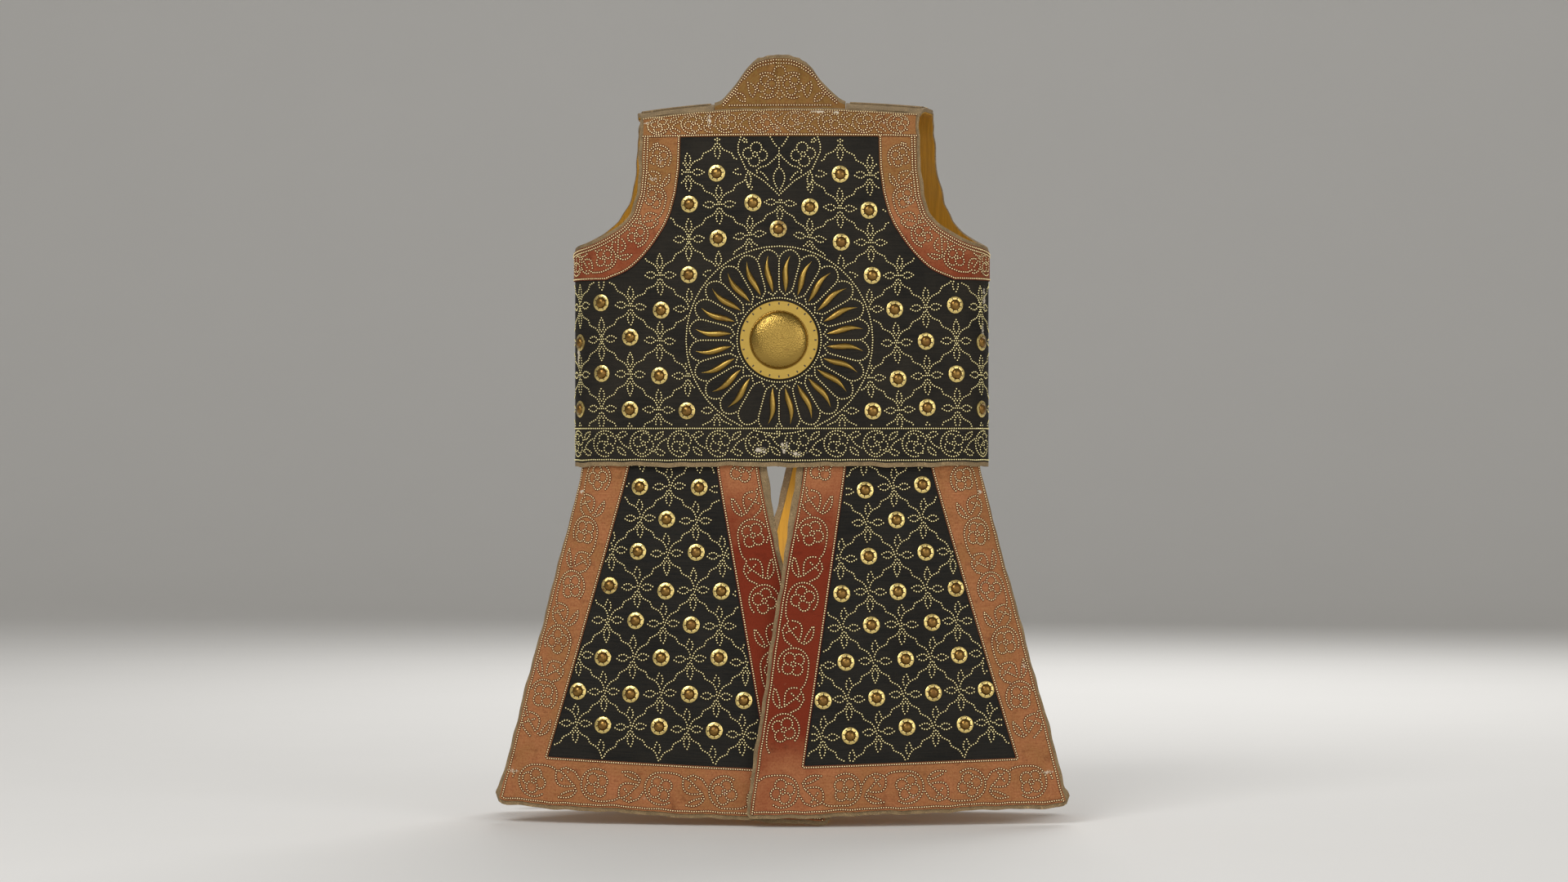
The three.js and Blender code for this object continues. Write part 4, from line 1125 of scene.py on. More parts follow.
def stamp_group(template):
    """Geometry nodes that set a copy of a shape on every point, standing along the point's outward direction."""
    tree = bpy.data.node_groups.new("Stamp " + template.name, "GeometryNodeTree")
    tree.interface.new_socket("Geometry", in_out="INPUT", socket_type="NodeSocketGeometry")
    tree.interface.new_socket("Geometry", in_out="OUTPUT", socket_type="NodeSocketGeometry")
    given = add(tree, "NodeGroupInput").outputs[0]
    shape = add(tree, "GeometryNodeObjectInfo", {"Object": template, "As Instance": True}).outputs["Geometry"]
    outward = add(tree, "GeometryNodeInputNamedAttribute", {"Name": "outward"}, data_type="FLOAT_VECTOR")
    upright = add(tree, "FunctionNodeAlignRotationToVector", {"Vector": outward.outputs[0]}, axis="Z").outputs[0]
    placed = {"Points": given, "Instance": shape, "Rotation": upright}
    copies = add(tree, "GeometryNodeInstanceOnPoints", placed).outputs[0]
    real = add(tree, "GeometryNodeRealizeInstances", {"Geometry": copies}).outputs[0]
    add(tree, "NodeGroupOutput", {0: real})
    return tree


def stamp(name, shape, spots, normals, tones=None):
    """One piece made of a small shape repeated at places on a surface, in metres, as a plain mesh."""
    template = bpy.data.objects.new(name + "_shape", shape)
    bpy.context.scene.collection.objects.link(template)
    cloud = bpy.data.meshes.new(name + "_places")
    dots = bmesh.new()
    for spot in spots:
        dots.verts.new(spot)
    dots.to_mesh(cloud)
    dots.free()
    outward = cloud.attributes.new("outward", "FLOAT_VECTOR", "POINT")
    outward.data.foreach_set("vector", np.ascontiguousarray(normals, np.float32).ravel())
    if tones is not None:
        tone = cloud.attributes.new("tone", "FLOAT", "POINT")
        tone.data.foreach_set("value", np.ascontiguousarray(tones, np.float32))
    holder = bpy.data.objects.new(name + "_places", cloud)
    bpy.context.scene.collection.objects.link(holder)
    stamped = holder.modifiers.new("stamp", "NODES")
    stamped.node_group = stamp_group(template)
    graph = bpy.context.evaluated_depsgraph_get()
    mesh = bpy.data.meshes.new_from_object(holder.evaluated_get(graph))
    if len(mesh.polygons) != len(shape.polygons) * len(spots):
        raise RuntimeError(f"{name}: {len(spots)} copies were asked for and {len(mesh.polygons)} faces were made")
    mesh.name = name
    nodes_tree = stamped.node_group
    for spare in (holder, template):
        bpy.data.objects.remove(spare)
    bpy.data.node_groups.remove(nodes_tree)
    return link_piece(name, mesh, ())


SHARP_TURN = math.radians(34)


def turned_shape(name, profile, steps, finishes, split=None, plate=False):
    """A small round shape spun from its profile, radius and height in millimetres.

    split is the radius inside which the second finish shows; plate adds a flat map for pin marks.
    """
    shape = bmesh.new()
    line = [shape.verts.new((radius * MM, 0, height * MM)) for radius, height in profile]
    for first, second in zip(line, line[1:]):
        shape.edges.new((first, second))
    bmesh.ops.spin(shape, geom=shape.verts[:] + shape.edges[:], cent=(0, 0, 0), axis=(0, 0, 1), angle=2 * math.pi,
                   steps=steps, use_merge=True)
    bmesh.ops.remove_doubles(shape, verts=shape.verts[:], dist=1e-6)
    bmesh.ops.recalc_face_normals(shape, faces=shape.faces[:])
    top = max(shape.faces, key=lambda face: face.calc_center_median().z)
    if top.normal.z < 0:
        bmesh.ops.reverse_faces(shape, faces=shape.faces[:])
    layer = shape.loops.layers.uv.new("plate") if plate else None
    for face in shape.faces:
        face.smooth = True
        middle = face.calc_center_median()
        face.material_index = int(split is not None and math.hypot(middle.x, middle.y) < split * MM)
        for loop in face.loops:
            if layer:
                loop[layer].uv = loop.vert.co.xy
    for edge in shape.edges:
        edge.smooth = edge.calc_face_angle(0.0) < SHARP_TURN
    return finished_mesh(name, shape, finishes)


SIDES = (("left", -1), ("right", 1))


def chances(count):
    """Numbers from 0 to 1, most of them low, the same on every run."""
    return np.modf(np.abs(np.sin(np.arange(count) * 12.9898 + 4.1)) * 43758.5453)[0] ** 2


# The first two points make a flat ring about the head, which takes the dark finish of painted shade.
NAIL_PROFILE = [(1.95, 0.06), (1.0, 0.16), (0.74, 0.78), (0.0, 1.0)]
NAIL_SIDES = 6
NAIL_SEAT = 0.06


def nail_shape(sizes, finish, stain):
    """Low round nail head in a flat dark ring; the ring's finish, stain, is painted shade about the head, with some
    browning of the cloth.
    """
    grow = sizes.nail_radius / MM
    profile = [(radius * grow, height * sizes.nail_rise / MM) for radius, height in NAIL_PROFILE]
    head = NAIL_PROFILE[1][0] * grow
    return turned_shape("nail_" + finish.name, profile, NAIL_SIDES, [stain, finish], split=head)


# Nails inside a band grow dull as it fades, each to its own degree; those in a seam stay bright
DULL_FROM = 0.15
DULL_RUN = 0.4
DULL_SPREAD = 0.5
DULL = {"back": 0.05, "front": 0.3, "skirt": 0.3, "guard": 0.1}


def set_nails(name, shape, surface, spots, lift, trim=None, fade=None, dull=1.0):
    """Nail heads at places on the cut, seated on the cloth."""
    flat, in_seam = spots[:, :2].T, spots[:, 2]
    x, y = trim(*flat) if trim else flat
    seats = surface.place(x, y, lift + NAIL_SEAT) * MM
    tones = None
    if fade:
        spread = 1 - DULL_SPREAD * chances(len(spots))
        tones = dull * smooth((valued(fade, *flat) - DULL_FROM) / DULL_RUN) * spread * (1 - in_seam)
    return stamp(name, shape, seats, surface.normal(x, y), tones)


# How far each band has faded, from 0, deep red, to 1, tan
TOP_FADE = {"middle": 0.95, "end": 0.8, "from": 70.0, "run": 80.0}
ARMHOLE_FADE = {"foot": 0.15, "top": 0.82, "from": 225.0, "run": 110.0}
FRONT_FADE = {"foot": 0.3, "top": 0.65, "from": 240.0, "run": 160.0}
SKIRT_FADE = {"most": 0.62, "slit": 0.16, "deep": 0.6, "reach": 60.0, "run": 40.0}
DEEP_RED = {"top": 20.0, "top_run": 130.0, "foot": 130.0, "foot_run": 110.0}


def top_fade(x, y):
    plan = TOP_FADE
    return lerp(plan["middle"], plan["end"], smooth((np.abs(x) - plan["from"]) / plan["run"]))


def upward_fade(plan, x, y):
    return lerp(plan["foot"], plan["top"], smooth((y - plan["from"]) / plan["run"]))


armhole_fade = partial(upward_fade, ARMHOLE_FADE)
front_fade = partial(upward_fade, FRONT_FADE)


def skirt_fade(cut, x, y):
    """Deep red beside the slit, except near the waist and the hem."""
    plan, red = SKIRT_FADE, DEEP_RED
    near = 1 - smooth((x - skirt_edges(cut, y)[0] - plan["reach"]) / plan["run"])
    below = smooth((y - red["top"]) / red["top_run"])
    above = 1 - smooth((y - skirt_drop(cut) + red["foot"]) / red["foot_run"])
    return plan["most"] - plan["deep"] * near * below * above - plan["slit"] * near


# Nail patterns of each panel: the distances that they keep
CLEAR = {"side": 4.0, "end": 3.0, "line": 2.0, "seam": 2.4, "rosette": 1.6, "edge": 0.8}
SEAM_ROW = 1.7
TOP_SEAM_ROW = 1.8
EDGE_ROWS = (2.0, 5.4)
SKIRT_EDGE_ROW = 2.6
RAW_SHARE = 0.6
SIDE_END = 244.0
STRAP_FOOT = 372.0
STRAP_VINE = {"foot": 388.0, "end": 8.0}
STRAP_SEAM = {"from": 92.0, "to": 126.0}
WAIST_MIDDLE = (WAIST_ROW + HEM_ROW) / 2
WAIST_HALF = (WAIST_ROW - HEM_ROW) / 2 - 2.6

# Vines: the flower's radius, half the strip's width, the distance between flowers and how the vine starts
VINES = {
    "waist": (12.3, WAIST_HALF, 45.0, 1, scroll),
    "armhole": (11.0, 17.0, 50.0),
    "front_trim": (12.5, 15.5, 60.0),
    "front_armhole": (12.0, 17.5, 62.0),
    "strap": (14.7, 27.0, 70.0),
    "inner": (14.0, 22.0, 73.0, 1, sprig, 38.0),
    "outer": (14.0, 22.0, 64.0, -1, sprig, 67.0),
    "hem": (14.0, 20.5, 74.0),
}
TOP_VINE = {"bloom": 11.0, "margin": 2.4, "pitch": 38.0}

PALMETTE_ROOM = {"half": 52.0, "depth": 72.0}
PALMETTE_OUTER = points(
    (44, -1), (47, -10), (47, -18), (42, -29), (38, -38), (31, -43), (18, -51), (6, -62), (0, -68),
)
PALMETTE_INNER = points((0, -20), (5, -26), (14, -34), (22, -36), (26, -40), (24, -45))
ARCH = table(
    "run share",
    (51.5, 0), (54, 0.45), (57.5, 0.9), (62, 1), (76, 1), (90, 1), (95, 0.93), (99, 0.74), (102, 0.46),
    (103.5, 0.2), (104, 0),
)
SUN_RINGS = (48.2, 107.3)
SUN_ROOM = 110.0


def palmette():
    """Two flowers in curling stems with a bud between them, hung from the top band's foot."""
    lines = [points((0, -14), (0, -33)), leaf((0, -36), (0, -64), 6.4)]
    for side in (-1, 1):
        way = np.array([side, 1.0])
        lines += [np.array([27.5 * side, -21.0]) + line for line in flower(14.0, math.pi / 4 + 0.15 * side)]
        lines.append(PALMETTE_OUTER * way)
        lines.append(PALMETTE_INNER * way)
        lines.append(points((10, -1), (6, -8), (2, -13), (0, -20)) * way)
        lines.append(leaf((24 * side, -41), (13 * side, -50), 3.4, side * 1.5))
        lines.append(leaf((37 * side, -7), (43 * side, -2), 1.8))
        lines.append(leaf((36 * side, -42), (34 * side, -58), 3.0))
    return [line + (0, TOP_BAND_FOOT) for line in lines]


def sun_lines():
    """Rings round the sun's dish, and an arch about every ray that shares its walls with its neighbours."""
    centre = np.array([0.0, SUN["up"]])
    lines = [ring(centre, radius) for radius in SUN_RINGS]
    sector = math.pi / RAY_PLACES
    for index in range(RAY_PLACES):
        middle = 2 * math.pi * (index + 0.5) / RAY_PLACES
        for side in (-1, 1):
            angle = middle + side * sector * ARCH["share"]
            lines.append(centre + xy(ARCH["run"] * np.sin(angle), ARCH["run"] * np.cos(angle)))
    return lines


def body_centres(parity):
    spots = []
    for row in range(-1, BODY_PITCH["rows"] + 1):
        for column in range(-BODY_PITCH["columns"] - 1, BODY_PITCH["columns"] + 2):
            if (row + column) % 2 == parity:
                up = BODY_LENGTH + BODY_PITCH["first"] - BODY_PITCH["down"] * row
                spots.append((column * BODY_PITCH["across"], up))
    return spots


def away_from(spots, distance, x, y):
    gaps = np.hypot(x[:, None] - spots[:, 0], y[:, None] - spots[:, 1])
    return gaps.min(axis=1) > distance


def back_nails(sizes):
    """Nails of the back's dark field and waist, and of its bands."""
    radius = sizes.rosette_radius / MM
    rosettes = columns(BACK_ROSETTES, "across", "up")
    raw = sizes.raw_edge / MM

    def in_field(x, y):
        rim = np.where(y < BAND_FOOT, SIDE - CLEAR["side"], read(BACK_ROWS, "band", y) - CLEAR["line"])
        inside = np.abs(x) < rim
        level = (y > WAIST_ROW + CLEAR["line"]) & (y < TOP_BAND_FOOT - CLEAR["line"])
        sun = np.hypot(x, y - SUN["up"]) > SUN_ROOM
        bud = (x / PALMETTE_ROOM["half"]) ** 2 + ((TOP_BAND_FOOT - y) / PALMETTE_ROOM["depth"]) ** 2 > 1
        clear = away_from(rosettes, radius + CLEAR["rosette"], x, y)
        seam = np.minimum(gap_to(back_seam(1), x, y), gap_to(back_seam(-1), x, y)) > CLEAR["seam"]
        return inside & level & sun & bud & clear & seam

    def on_back(x, y):
        return (np.abs(x) < SIDE - CLEAR["end"]) & (np.hypot(x, y - SUN["up"]) > SUN["rim"] + CLEAR["line"])

    pitch = sizes.nail_pitch / MM
    flowers = lattice(body_centres(1), BODY_PITCH["across"], BODY_PITCH["down"], TOP_BAND_FOOT - BODY_PITCH["bare"])
    field = nail_places(settle(flowers, body_centres(0), rosettes), pitch, in_field)
    ends = SIDE - CLEAR["side"]
    levels = [points((-ends, up), (ends, up)) for up in (WAIST_ROW, HEM_ROW)]
    waist = vine(points((-ends, WAIST_MIDDLE), (ends, WAIST_MIDDLE)), *VINES["waist"])
    fixed = sun_lines() + palmette() + waist
    field = np.concatenate([field, nail_places(fixed, pitch, on_back, levels)])
    bands = {"top_band": top_band_lines(raw)}
    for name, side in SIDES:
        seam, edge = back_seam(side), back_armhole(side)
        edge = edge[edge[:, 1] < TOP_BAND_FOOT]
        middle = (evenly(seam, 120) + evenly(edge, 120)) / 2
        rows = [beside(seam, -SEAM_ROW * side)] + [beside(edge, side * (raw + row)) for row in EDGE_ROWS]
        bands["armhole_band_" + name] = rows, vine(middle, *VINES["armhole"], side)
    kept = partial(on_band, raw)
    return field, {name: nail_places(vines, pitch, kept, rows) for name, (rows, vines) in bands.items()}


def on_band(raw, x, y):
    """Places on the back's bands, inside their frayed edges."""
    rim = np.where(y < SIDE_END, SIDE, read(BACK_ROWS, "edge", y))
    inside = np.abs(x) < np.minimum(rim - raw * RAW_SHARE - 1.0, SIDE - CLEAR["line"])
    return inside & (y < BACK_TOP - raw * RAW_SHARE)


def top_band_lines(raw):
    """Rows along both edges of the top band, and the vine between them."""
    rim = float(read(BACK_ROWS, "edge", TOP_BAND_FOOT)) - raw
    foot, head = TOP_BAND_FOOT + TOP_SEAM_ROW, BACK_TOP - raw - 1.5
    middle = (foot + head) / 2
    rows = [points((-rim, up), (rim, up)) for up in (foot, head)]
    half = (head - foot) / 2 - TOP_VINE["margin"]
    path = points((-rim, middle), (rim, middle))
    return rows, vine(path, TOP_VINE["bloom"], half, TOP_VINE["pitch"], motif=scroll)


def front_nails(side, sizes):
    """Nails of one front's field and of its border, on the wearer's side."""
    radius = sizes.rosette_radius / MM
    rosettes = front_rosettes(side, radius)
    raw = sizes.raw_edge / MM
    trim, band = front_seams(1)

    def in_field(x, y):
        reach = x * side
        rim = np.where(y < BAND_FOOT, SIDE - CLEAR["side"], read(FRONT_ROWS, "band", y) - CLEAR["line"])
        inside = (reach < rim) & (reach > read(FRONT_ROWS, "trim", y) + CLEAR["line"])
        level = (y > WAIST_ROW + CLEAR["line"]) & (y < FRONT_TOP_FOOT - CLEAR["line"])
        seam = np.minimum(gap_to(trim, reach, y), gap_to(band, reach, y)) > CLEAR["seam"]
        return inside & level & seam & away_from(rosettes, radius + CLEAR["rosette"], x, y)

    def anywhere(x, y):
        return (x * side < SIDE - CLEAR["end"]) & (x * side > CLEAR["line"])

    pitch = sizes.nail_pitch / MM
    field = nail_places(lattice(body_centres(1), BODY_PITCH["across"], BODY_PITCH["down"]), pitch, in_field)
    near, far = side * (FRONT_ROWS["trim"][0] + CLEAR["end"]), side * (SIDE - CLEAR["side"])
    waist = [points((near, up), (far, up)) for up in (WAIST_ROW, HEM_ROW)]
    scrolls = vine(points((near, WAIST_MIDDLE), (far, WAIST_MIDDLE)), *VINES["waist"])
    field = np.concatenate([field, nail_places(scrolls, pitch, anywhere, waist)])
    mirror = np.array([side, 1.0])
    neck, edge = front_neck(side), front_armhole(side)
    rows = [beside(trim * mirror, SEAM_ROW * side), beside(band * mirror, -SEAM_ROW * side)]
    rows += [beside(neck, -side * (raw + EDGE_ROWS[0])), beside(edge, side * (raw + EDGE_ROWS[0]))]
    strips = {"front_trim": (neck, trim), "front_armhole": (edge, band)}
    vines = []
    for name, (rim, seam) in strips.items():
        lower = rim[rim[:, 1] < STRAP_FOOT]
        vines += vine((evenly(lower, 120) + evenly(seam * mirror, 120)) / 2, *VINES[name], side)
    strap_up = np.linspace(STRAP_VINE["foot"], FRONT_END - STRAP_VINE["end"], 60)
    strap = (read(FRONT_ROWS, "neck", strap_up) + front_edge(side, strap_up)) / 2
    vines += vine(xy(strap * side, strap_up), *VINES["strap"], side)
    crossing = FRONT_TOP_FOOT + SEAM_ROW
    rows.append(points((STRAP_SEAM["from"] * side, crossing), (STRAP_SEAM["to"] * side, crossing)))

    def on_border(x, y):
        reach = x * side
        inner = np.maximum(read(FRONT_ROWS, "neck", y), FRONT_GAP) + raw * RAW_SHARE
        outer = np.minimum(front_edge(side, y) - raw * RAW_SHARE - 1, SIDE - CLEAR["line"])
        return (reach > inner) & (reach < outer) & (y < FRONT_END - STRAP_FRAYED - CLEAR["line"])

    return field, nail_places(vines, pitch, on_border, rows)


def skirt_sites(cut, parity):
    """Lattice places of a skirt: row, column, distance out and distance down."""
    sites = []
    for row in range(-1, SKIRT_PITCH["rows"] + 2):
        centre = lerp(cut.stud_top, cut.stud_foot, row / (SKIRT_PITCH["rows"] - 1))
        for column in range(-SKIRT_PITCH["columns"] - 2, SKIRT_PITCH["columns"] + 3):
            if (row + column) % 2 == parity:
                reach = column * SKIRT_PITCH["across"]
                height = SKIRT_PITCH["first"] - SKIRT_PITCH["down"] * row + SKIRT_PITCH["tilt"] * reach
                sites.append((row, column, centre + reach, SKIRT_TOP - height))
    return sites


def skirt_centres(cut, parity):
    return [site[2:] for site in skirt_sites(cut, parity)]


def skirt_nails(cut, sizes):
    """Nails of a skirt's field and of its border."""
    radius = sizes.rosette_radius / MM
    rosettes = skirt_rosettes(cut, radius)
    raw = sizes.raw_edge / MM
    foot = skirt_drop(cut)
    seam_foot = foot - SKIRT_HEM["strip"]
    lines = skirt_lines(cut)

    def in_field(x, y):
        inner, outer = skirt_seams(cut, y)
        inside = (x > inner + CLEAR["seam"]) & (x < outer - CLEAR["seam"])
        level = (y > SKIRT_SHOWS) & (y < seam_foot - CLEAR["seam"])
        return inside & level & away_from(rosettes, radius + CLEAR["rosette"], x, y)

    def on_border(x, y):
        inner, outer = skirt_edges(cut, y)
        inside = (x > inner + slit_fray(raw, y) + CLEAR["edge"]) & (x < outer - raw - CLEAR["edge"])
        return inside & (y > SKIRT_SHOWS) & (y < foot - raw - CLEAR["edge"])

    pitch = sizes.nail_pitch / MM
    bare_from = seam_foot - SKIRT_PITCH["bare"]
    flowers = lattice(skirt_centres(cut, 0), SKIRT_PITCH["across"], -SKIRT_PITCH["down"], bare_from)
    field = nail_places(settle(flowers, skirt_centres(cut, 1), rosettes), pitch, in_field)
    rows = [lines["inner_seam"] - (SEAM_ROW, 0), lines["outer_seam"] + (SEAM_ROW, 0), lines["hem_seam"] + (0, SEAM_ROW)]
    slit = lines["inner"].copy()
    slit[:, 0] += slit_fray(raw, slit[:, 1]) + SKIRT_EDGE_ROW
    rows += [slit, lines["outer"] - (raw + SKIRT_EDGE_ROW, 0), lines["hem"] - (0, raw + SKIRT_EDGE_ROW)]
    vines = []
    for edge in ("inner", "outer"):
        side = lines[edge][lines[edge][:, 1] < seam_foot]
        middle = (evenly(side, 120) + evenly(lines[edge + "_seam"], 120)) / 2
        vines += vine(middle[::-1], *VINES[edge])
    level = foot - SKIRT_HEM["strip"] / 2 - 1.0
    ends = skirt_edges(cut, level)
    path = points((ends[0] + CLEAR["end"], level), (ends[1] - CLEAR["end"], level))
    vines += vine(path, *VINES["hem"])
    return field, nail_places(vines, pitch, on_border, rows)


def guard_nails(sizes):
    """Nails of the neck guard: an edge row, two flowers with curling stems, and leaves at its ends."""
    across = np.linspace(-GUARD["half"] + 8, GUARD["half"] - 8, 160)
    lines = [xy(across, guard_top(across) - 5.0), xy(across, guard_top(across) - 8.6)]
    low = BACK_TOP_HEIGHT + 3.5
    lines.append(points((-58, low), (58, low)))
    for side in (-1, 1):
        at = np.array([15.0 * side, 17.0])
        lines += [at + line for line in flower(11.5, 0.5 * side)]
        lines.append(at + ring((0, 0), 14.5, 60, 240) * (side, 1))
        lines.append(leaf((31 * side, 4), (37 * side, 22), 4.0, side * 2))
        lines.append(leaf((40 * side, -1), (52 * side, 9), 3.4, side))
    lines += [leaf((0, 2), (0, 16), 4.0), ring((0, 33), 6.5)]

    def inside(x, y):
        return (y < guard_top(x) - 4.0) & (y > low - 1) & (np.abs(x) < GUARD["half"] - 8)

    return nail_places(lines, sizes.nail_pitch / MM, inside)


BACK_TOP_HEIGHT = float(BACK.place(np.zeros(1), np.full(1, BACK_TOP))[0, 2])


# What a user may change
def length(label, text, value, low, high):
    return FloatProperty(name=label, description=text, default=value, min=low, max=high, unit="LENGTH",
                         precision=4)


def colour(label, text, value):
    return FloatVectorProperty(name=label, description=text, default=value, size=3, min=0.0, max=1.0,
                               subtype="COLOR")


class CoatSizes(bpy.types.PropertyGroup):
    """Sizes of the coat's small metal and of its edges."""

    nail_pitch: length("Nail pitch", "Distance between nail heads along a line", 0.0030, 0.002, 0.01)
    nail_radius: length("Nail radius", "Radius of a nail's head", 0.0009, 0.0005, 0.003)
    nail_rise: length("Nail rise", "Height of a nail's head", 0.0009, 0.0003, 0.003)
    rosette_radius: length("Rosette radius", "Radius of a rosette's plate", 0.0098, 0.004, 0.015)
    raw_edge: length("Frayed edge", "Width of bare cloth left outside the bands", 0.0045, 0.0, 0.01)


class CoatColours(bpy.types.PropertyGroup):
    """Colours of the coat's cloths and metals."""

    field_cool: colour("Field", "Dark cloth of the skirts", (0.0150, 0.0146, 0.0130))
    field_warm: colour("Field, browned", "Dark cloth of the body", (0.0255, 0.0214, 0.0158))
    field_worn: colour("Field, worn", "Dark cloth where its nap is gone", (0.080, 0.064, 0.044))
    band_red: colour("Band, deep", "Red cloth where it has kept its colour", (0.205, 0.030, 0.012))
    band_rose: colour("Band, faded", "Red cloth where it has faded", (0.46, 0.188, 0.078))
    band_tan: colour("Band, bleached", "Red cloth where it has turned tan", (0.27, 0.160, 0.045))
    band_worn: colour("Band, worn", "Red cloth where its threads show", (0.47, 0.32, 0.18))
    lining: colour("Lining", "Mustard lining", (0.66, 0.325, 0.028))
    raw_edge: colour("Frayed edge", "Bare layered cloth", (0.365, 0.250, 0.122))
    torn: colour("Torn cloth", "Pale backing where the cloth is torn", (0.66, 0.58, 0.45))
    plate: colour("Rosette plate", "Bright brass of the rosettes' plates", (0.77, 0.59, 0.215))
    brass: colour("Brass", "Brass of the sun's rim and rays", (0.425, 0.282, 0.064))
    brass_dark: colour("Brass, brown", "Browned brass", (0.19, 0.095, 0.03))
    nail: colour("Nails", "Brass of the nail heads on the fields", (1.0, 0.89, 0.45))
    nail_pale: colour("Nails, pale", "Brass of the nail heads on the bands", (1.0, 0.81, 0.43))
    nail_dull: colour("Nails, dulled", "Nail heads where the bands have turned tan", (0.56, 0.31, 0.175))
    # The two colours below are painted shade about the nail heads, with some browning of the cloth by the metal.
    stain_field: colour("Stain, field", "Dark cloth browned by the nails", (0.026, 0.017, 0.011))
    stain_band: colour("Stain, band", "Red cloth browned by the nails", (0.088, 0.020, 0.011))
    floor: colour("Floor", "Studio floor and backdrop", (0.78, 0.77, 0.75))


# Operators
BACK_CLOTH = "back_panel_cloth"
FRONT_CLOTHS = ["front_panel_left_cloth", "front_panel_right_cloth"]


class COAT_OT_rosettes(bpy.types.Operator):
    """Set the round brass rosettes on the panels and skirts"""

    bl_idname = "coat.rosettes"
    bl_label = "Rosettes"

    PROFILE = [
        (9.8, -0.6), (9.8, 0.7), (9.4, 1.0), (6.4, 1.2), (6.0, 0.8), (5.6, 2.2), (4.6, 3.6), (2.7, 4.4), (0.0, 4.7),
    ]
    STEPS = 14
    SPLIT = 6.2
    BROWN_SHARE = 0.25
    PINS = {"Count": 8.0, "Radius": 0.0071, "Length": 0.0022, "Width": 0.0012}

    def execute(self, context):
        sizes, colours = context.scene.coat_sizes, context.scene.coat_colours
        radius = sizes.rosette_radius / MM
        grow = radius / self.PROFILE[0][0]
        pins = {label: value if label == "Count" else value * grow for label, value in self.PINS.items()}
        dome = [lerp(dark, bright, self.BROWN_SHARE) for bright, dark in zip(colours.brass, colours.brass_dark)]
        finishes = [
            brass("rosette_plate", colours.plate, colours.brass_dark, 0.3, 90.0, 0.12, pins, aged=0.55),
            brass("rosette_dome", dome, colours.brass_dark, 0.26, 120.0, 0.5, aged=0.3),
        ]
        profile = [(r * grow, h) for r, h in self.PROFILE]
        places = {"back_panel": (BACK, columns(BACK_ROSETTES, "across", "up"))}
        for name, side in SIDES:
            places["front_panel_" + name] = (FRONT, front_rosettes(side, radius))
        for cut in SKIRTS:
            places["skirt_" + cut.name] = (SKIRT_FACES[cut.name], skirt_rosettes(cut, radius))
        for name, (surface, spots) in places.items():
            shape = turned_shape(name + "_rosette", profile, self.STEPS, finishes, self.SPLIT * grow, plate=True)
            seats = surface.place(*spots.T) * MM
            stamp(name + "_rosettes", shape, seats, surface.normal(*spots.T, radius), chances(len(spots)))
        return {"FINISHED"}


class COAT_OT_nails(bpy.types.Operator):
    """Set the small nail heads in their patterns on fields and bands"""

    bl_idname = "coat.nails"
    bl_label = "Nail heads"

    def execute(self, context):
        sizes, colours = context.scene.coat_sizes, context.scene.coat_colours
        bright = brass("nail_brass", colours.nail, colours.brass_dark, 0.4, 40.0, 0.12, metal=0.45)
        pale = brass("nail_pale", colours.nail_pale, colours.nail_dull, 0.45, 40.0, 0.1, aged=1.0, metal=0.3)
        # Each nail head stands in a dark ring of painted shade, with some browning of the cloth.
        on_field = nail_shape(sizes, bright, shade_ring_cloth("nail_stain_field", colours.stain_field))
        on_red = nail_shape(sizes, pale, shade_ring_cloth("nail_stain_band", colours.stain_band))
        field, bands = back_nails(sizes)
        set_nails("back_panel_nails", on_field, BACK, field, 0.0, BACK_TRIM)
        for name, spots in bands.items():
            fade = top_fade if name == "top_band" else armhole_fade
            set_nails(f"back_{name}_nails", on_red, BACK, spots, BAND_LIFT, BACK_TRIM, fade, DULL["back"])
        for name, side in SIDES:
            field, border = front_nails(side, sizes)
            trim = FRONT_TRIMS[name]
            set_nails(f"front_panel_{name}_nails", on_field, FRONT, field, 0.0, trim)
            set_nails(f"front_border_{name}_nails", on_red, FRONT, border, BAND_LIFT, trim, front_fade, DULL["front"])
        for cut in SKIRTS:
            field, border = skirt_nails(cut, sizes)
            surface, trim, fade = SKIRT_FACES[cut.name], partial(skirt_trim, cut), partial(skirt_fade, cut)
            set_nails(f"skirt_{cut.name}_nails", on_field, surface, field, 0.0, trim)
            set_nails(f"skirt_border_{cut.name}_nails", on_red, surface, border, BAND_LIFT, trim, fade, DULL["skirt"])
        set_nails("neck_guard_nails", on_red, NECK, guard_nails(sizes), 0.0, None, 1.0, DULL["guard"])
        return {"FINISHED"}


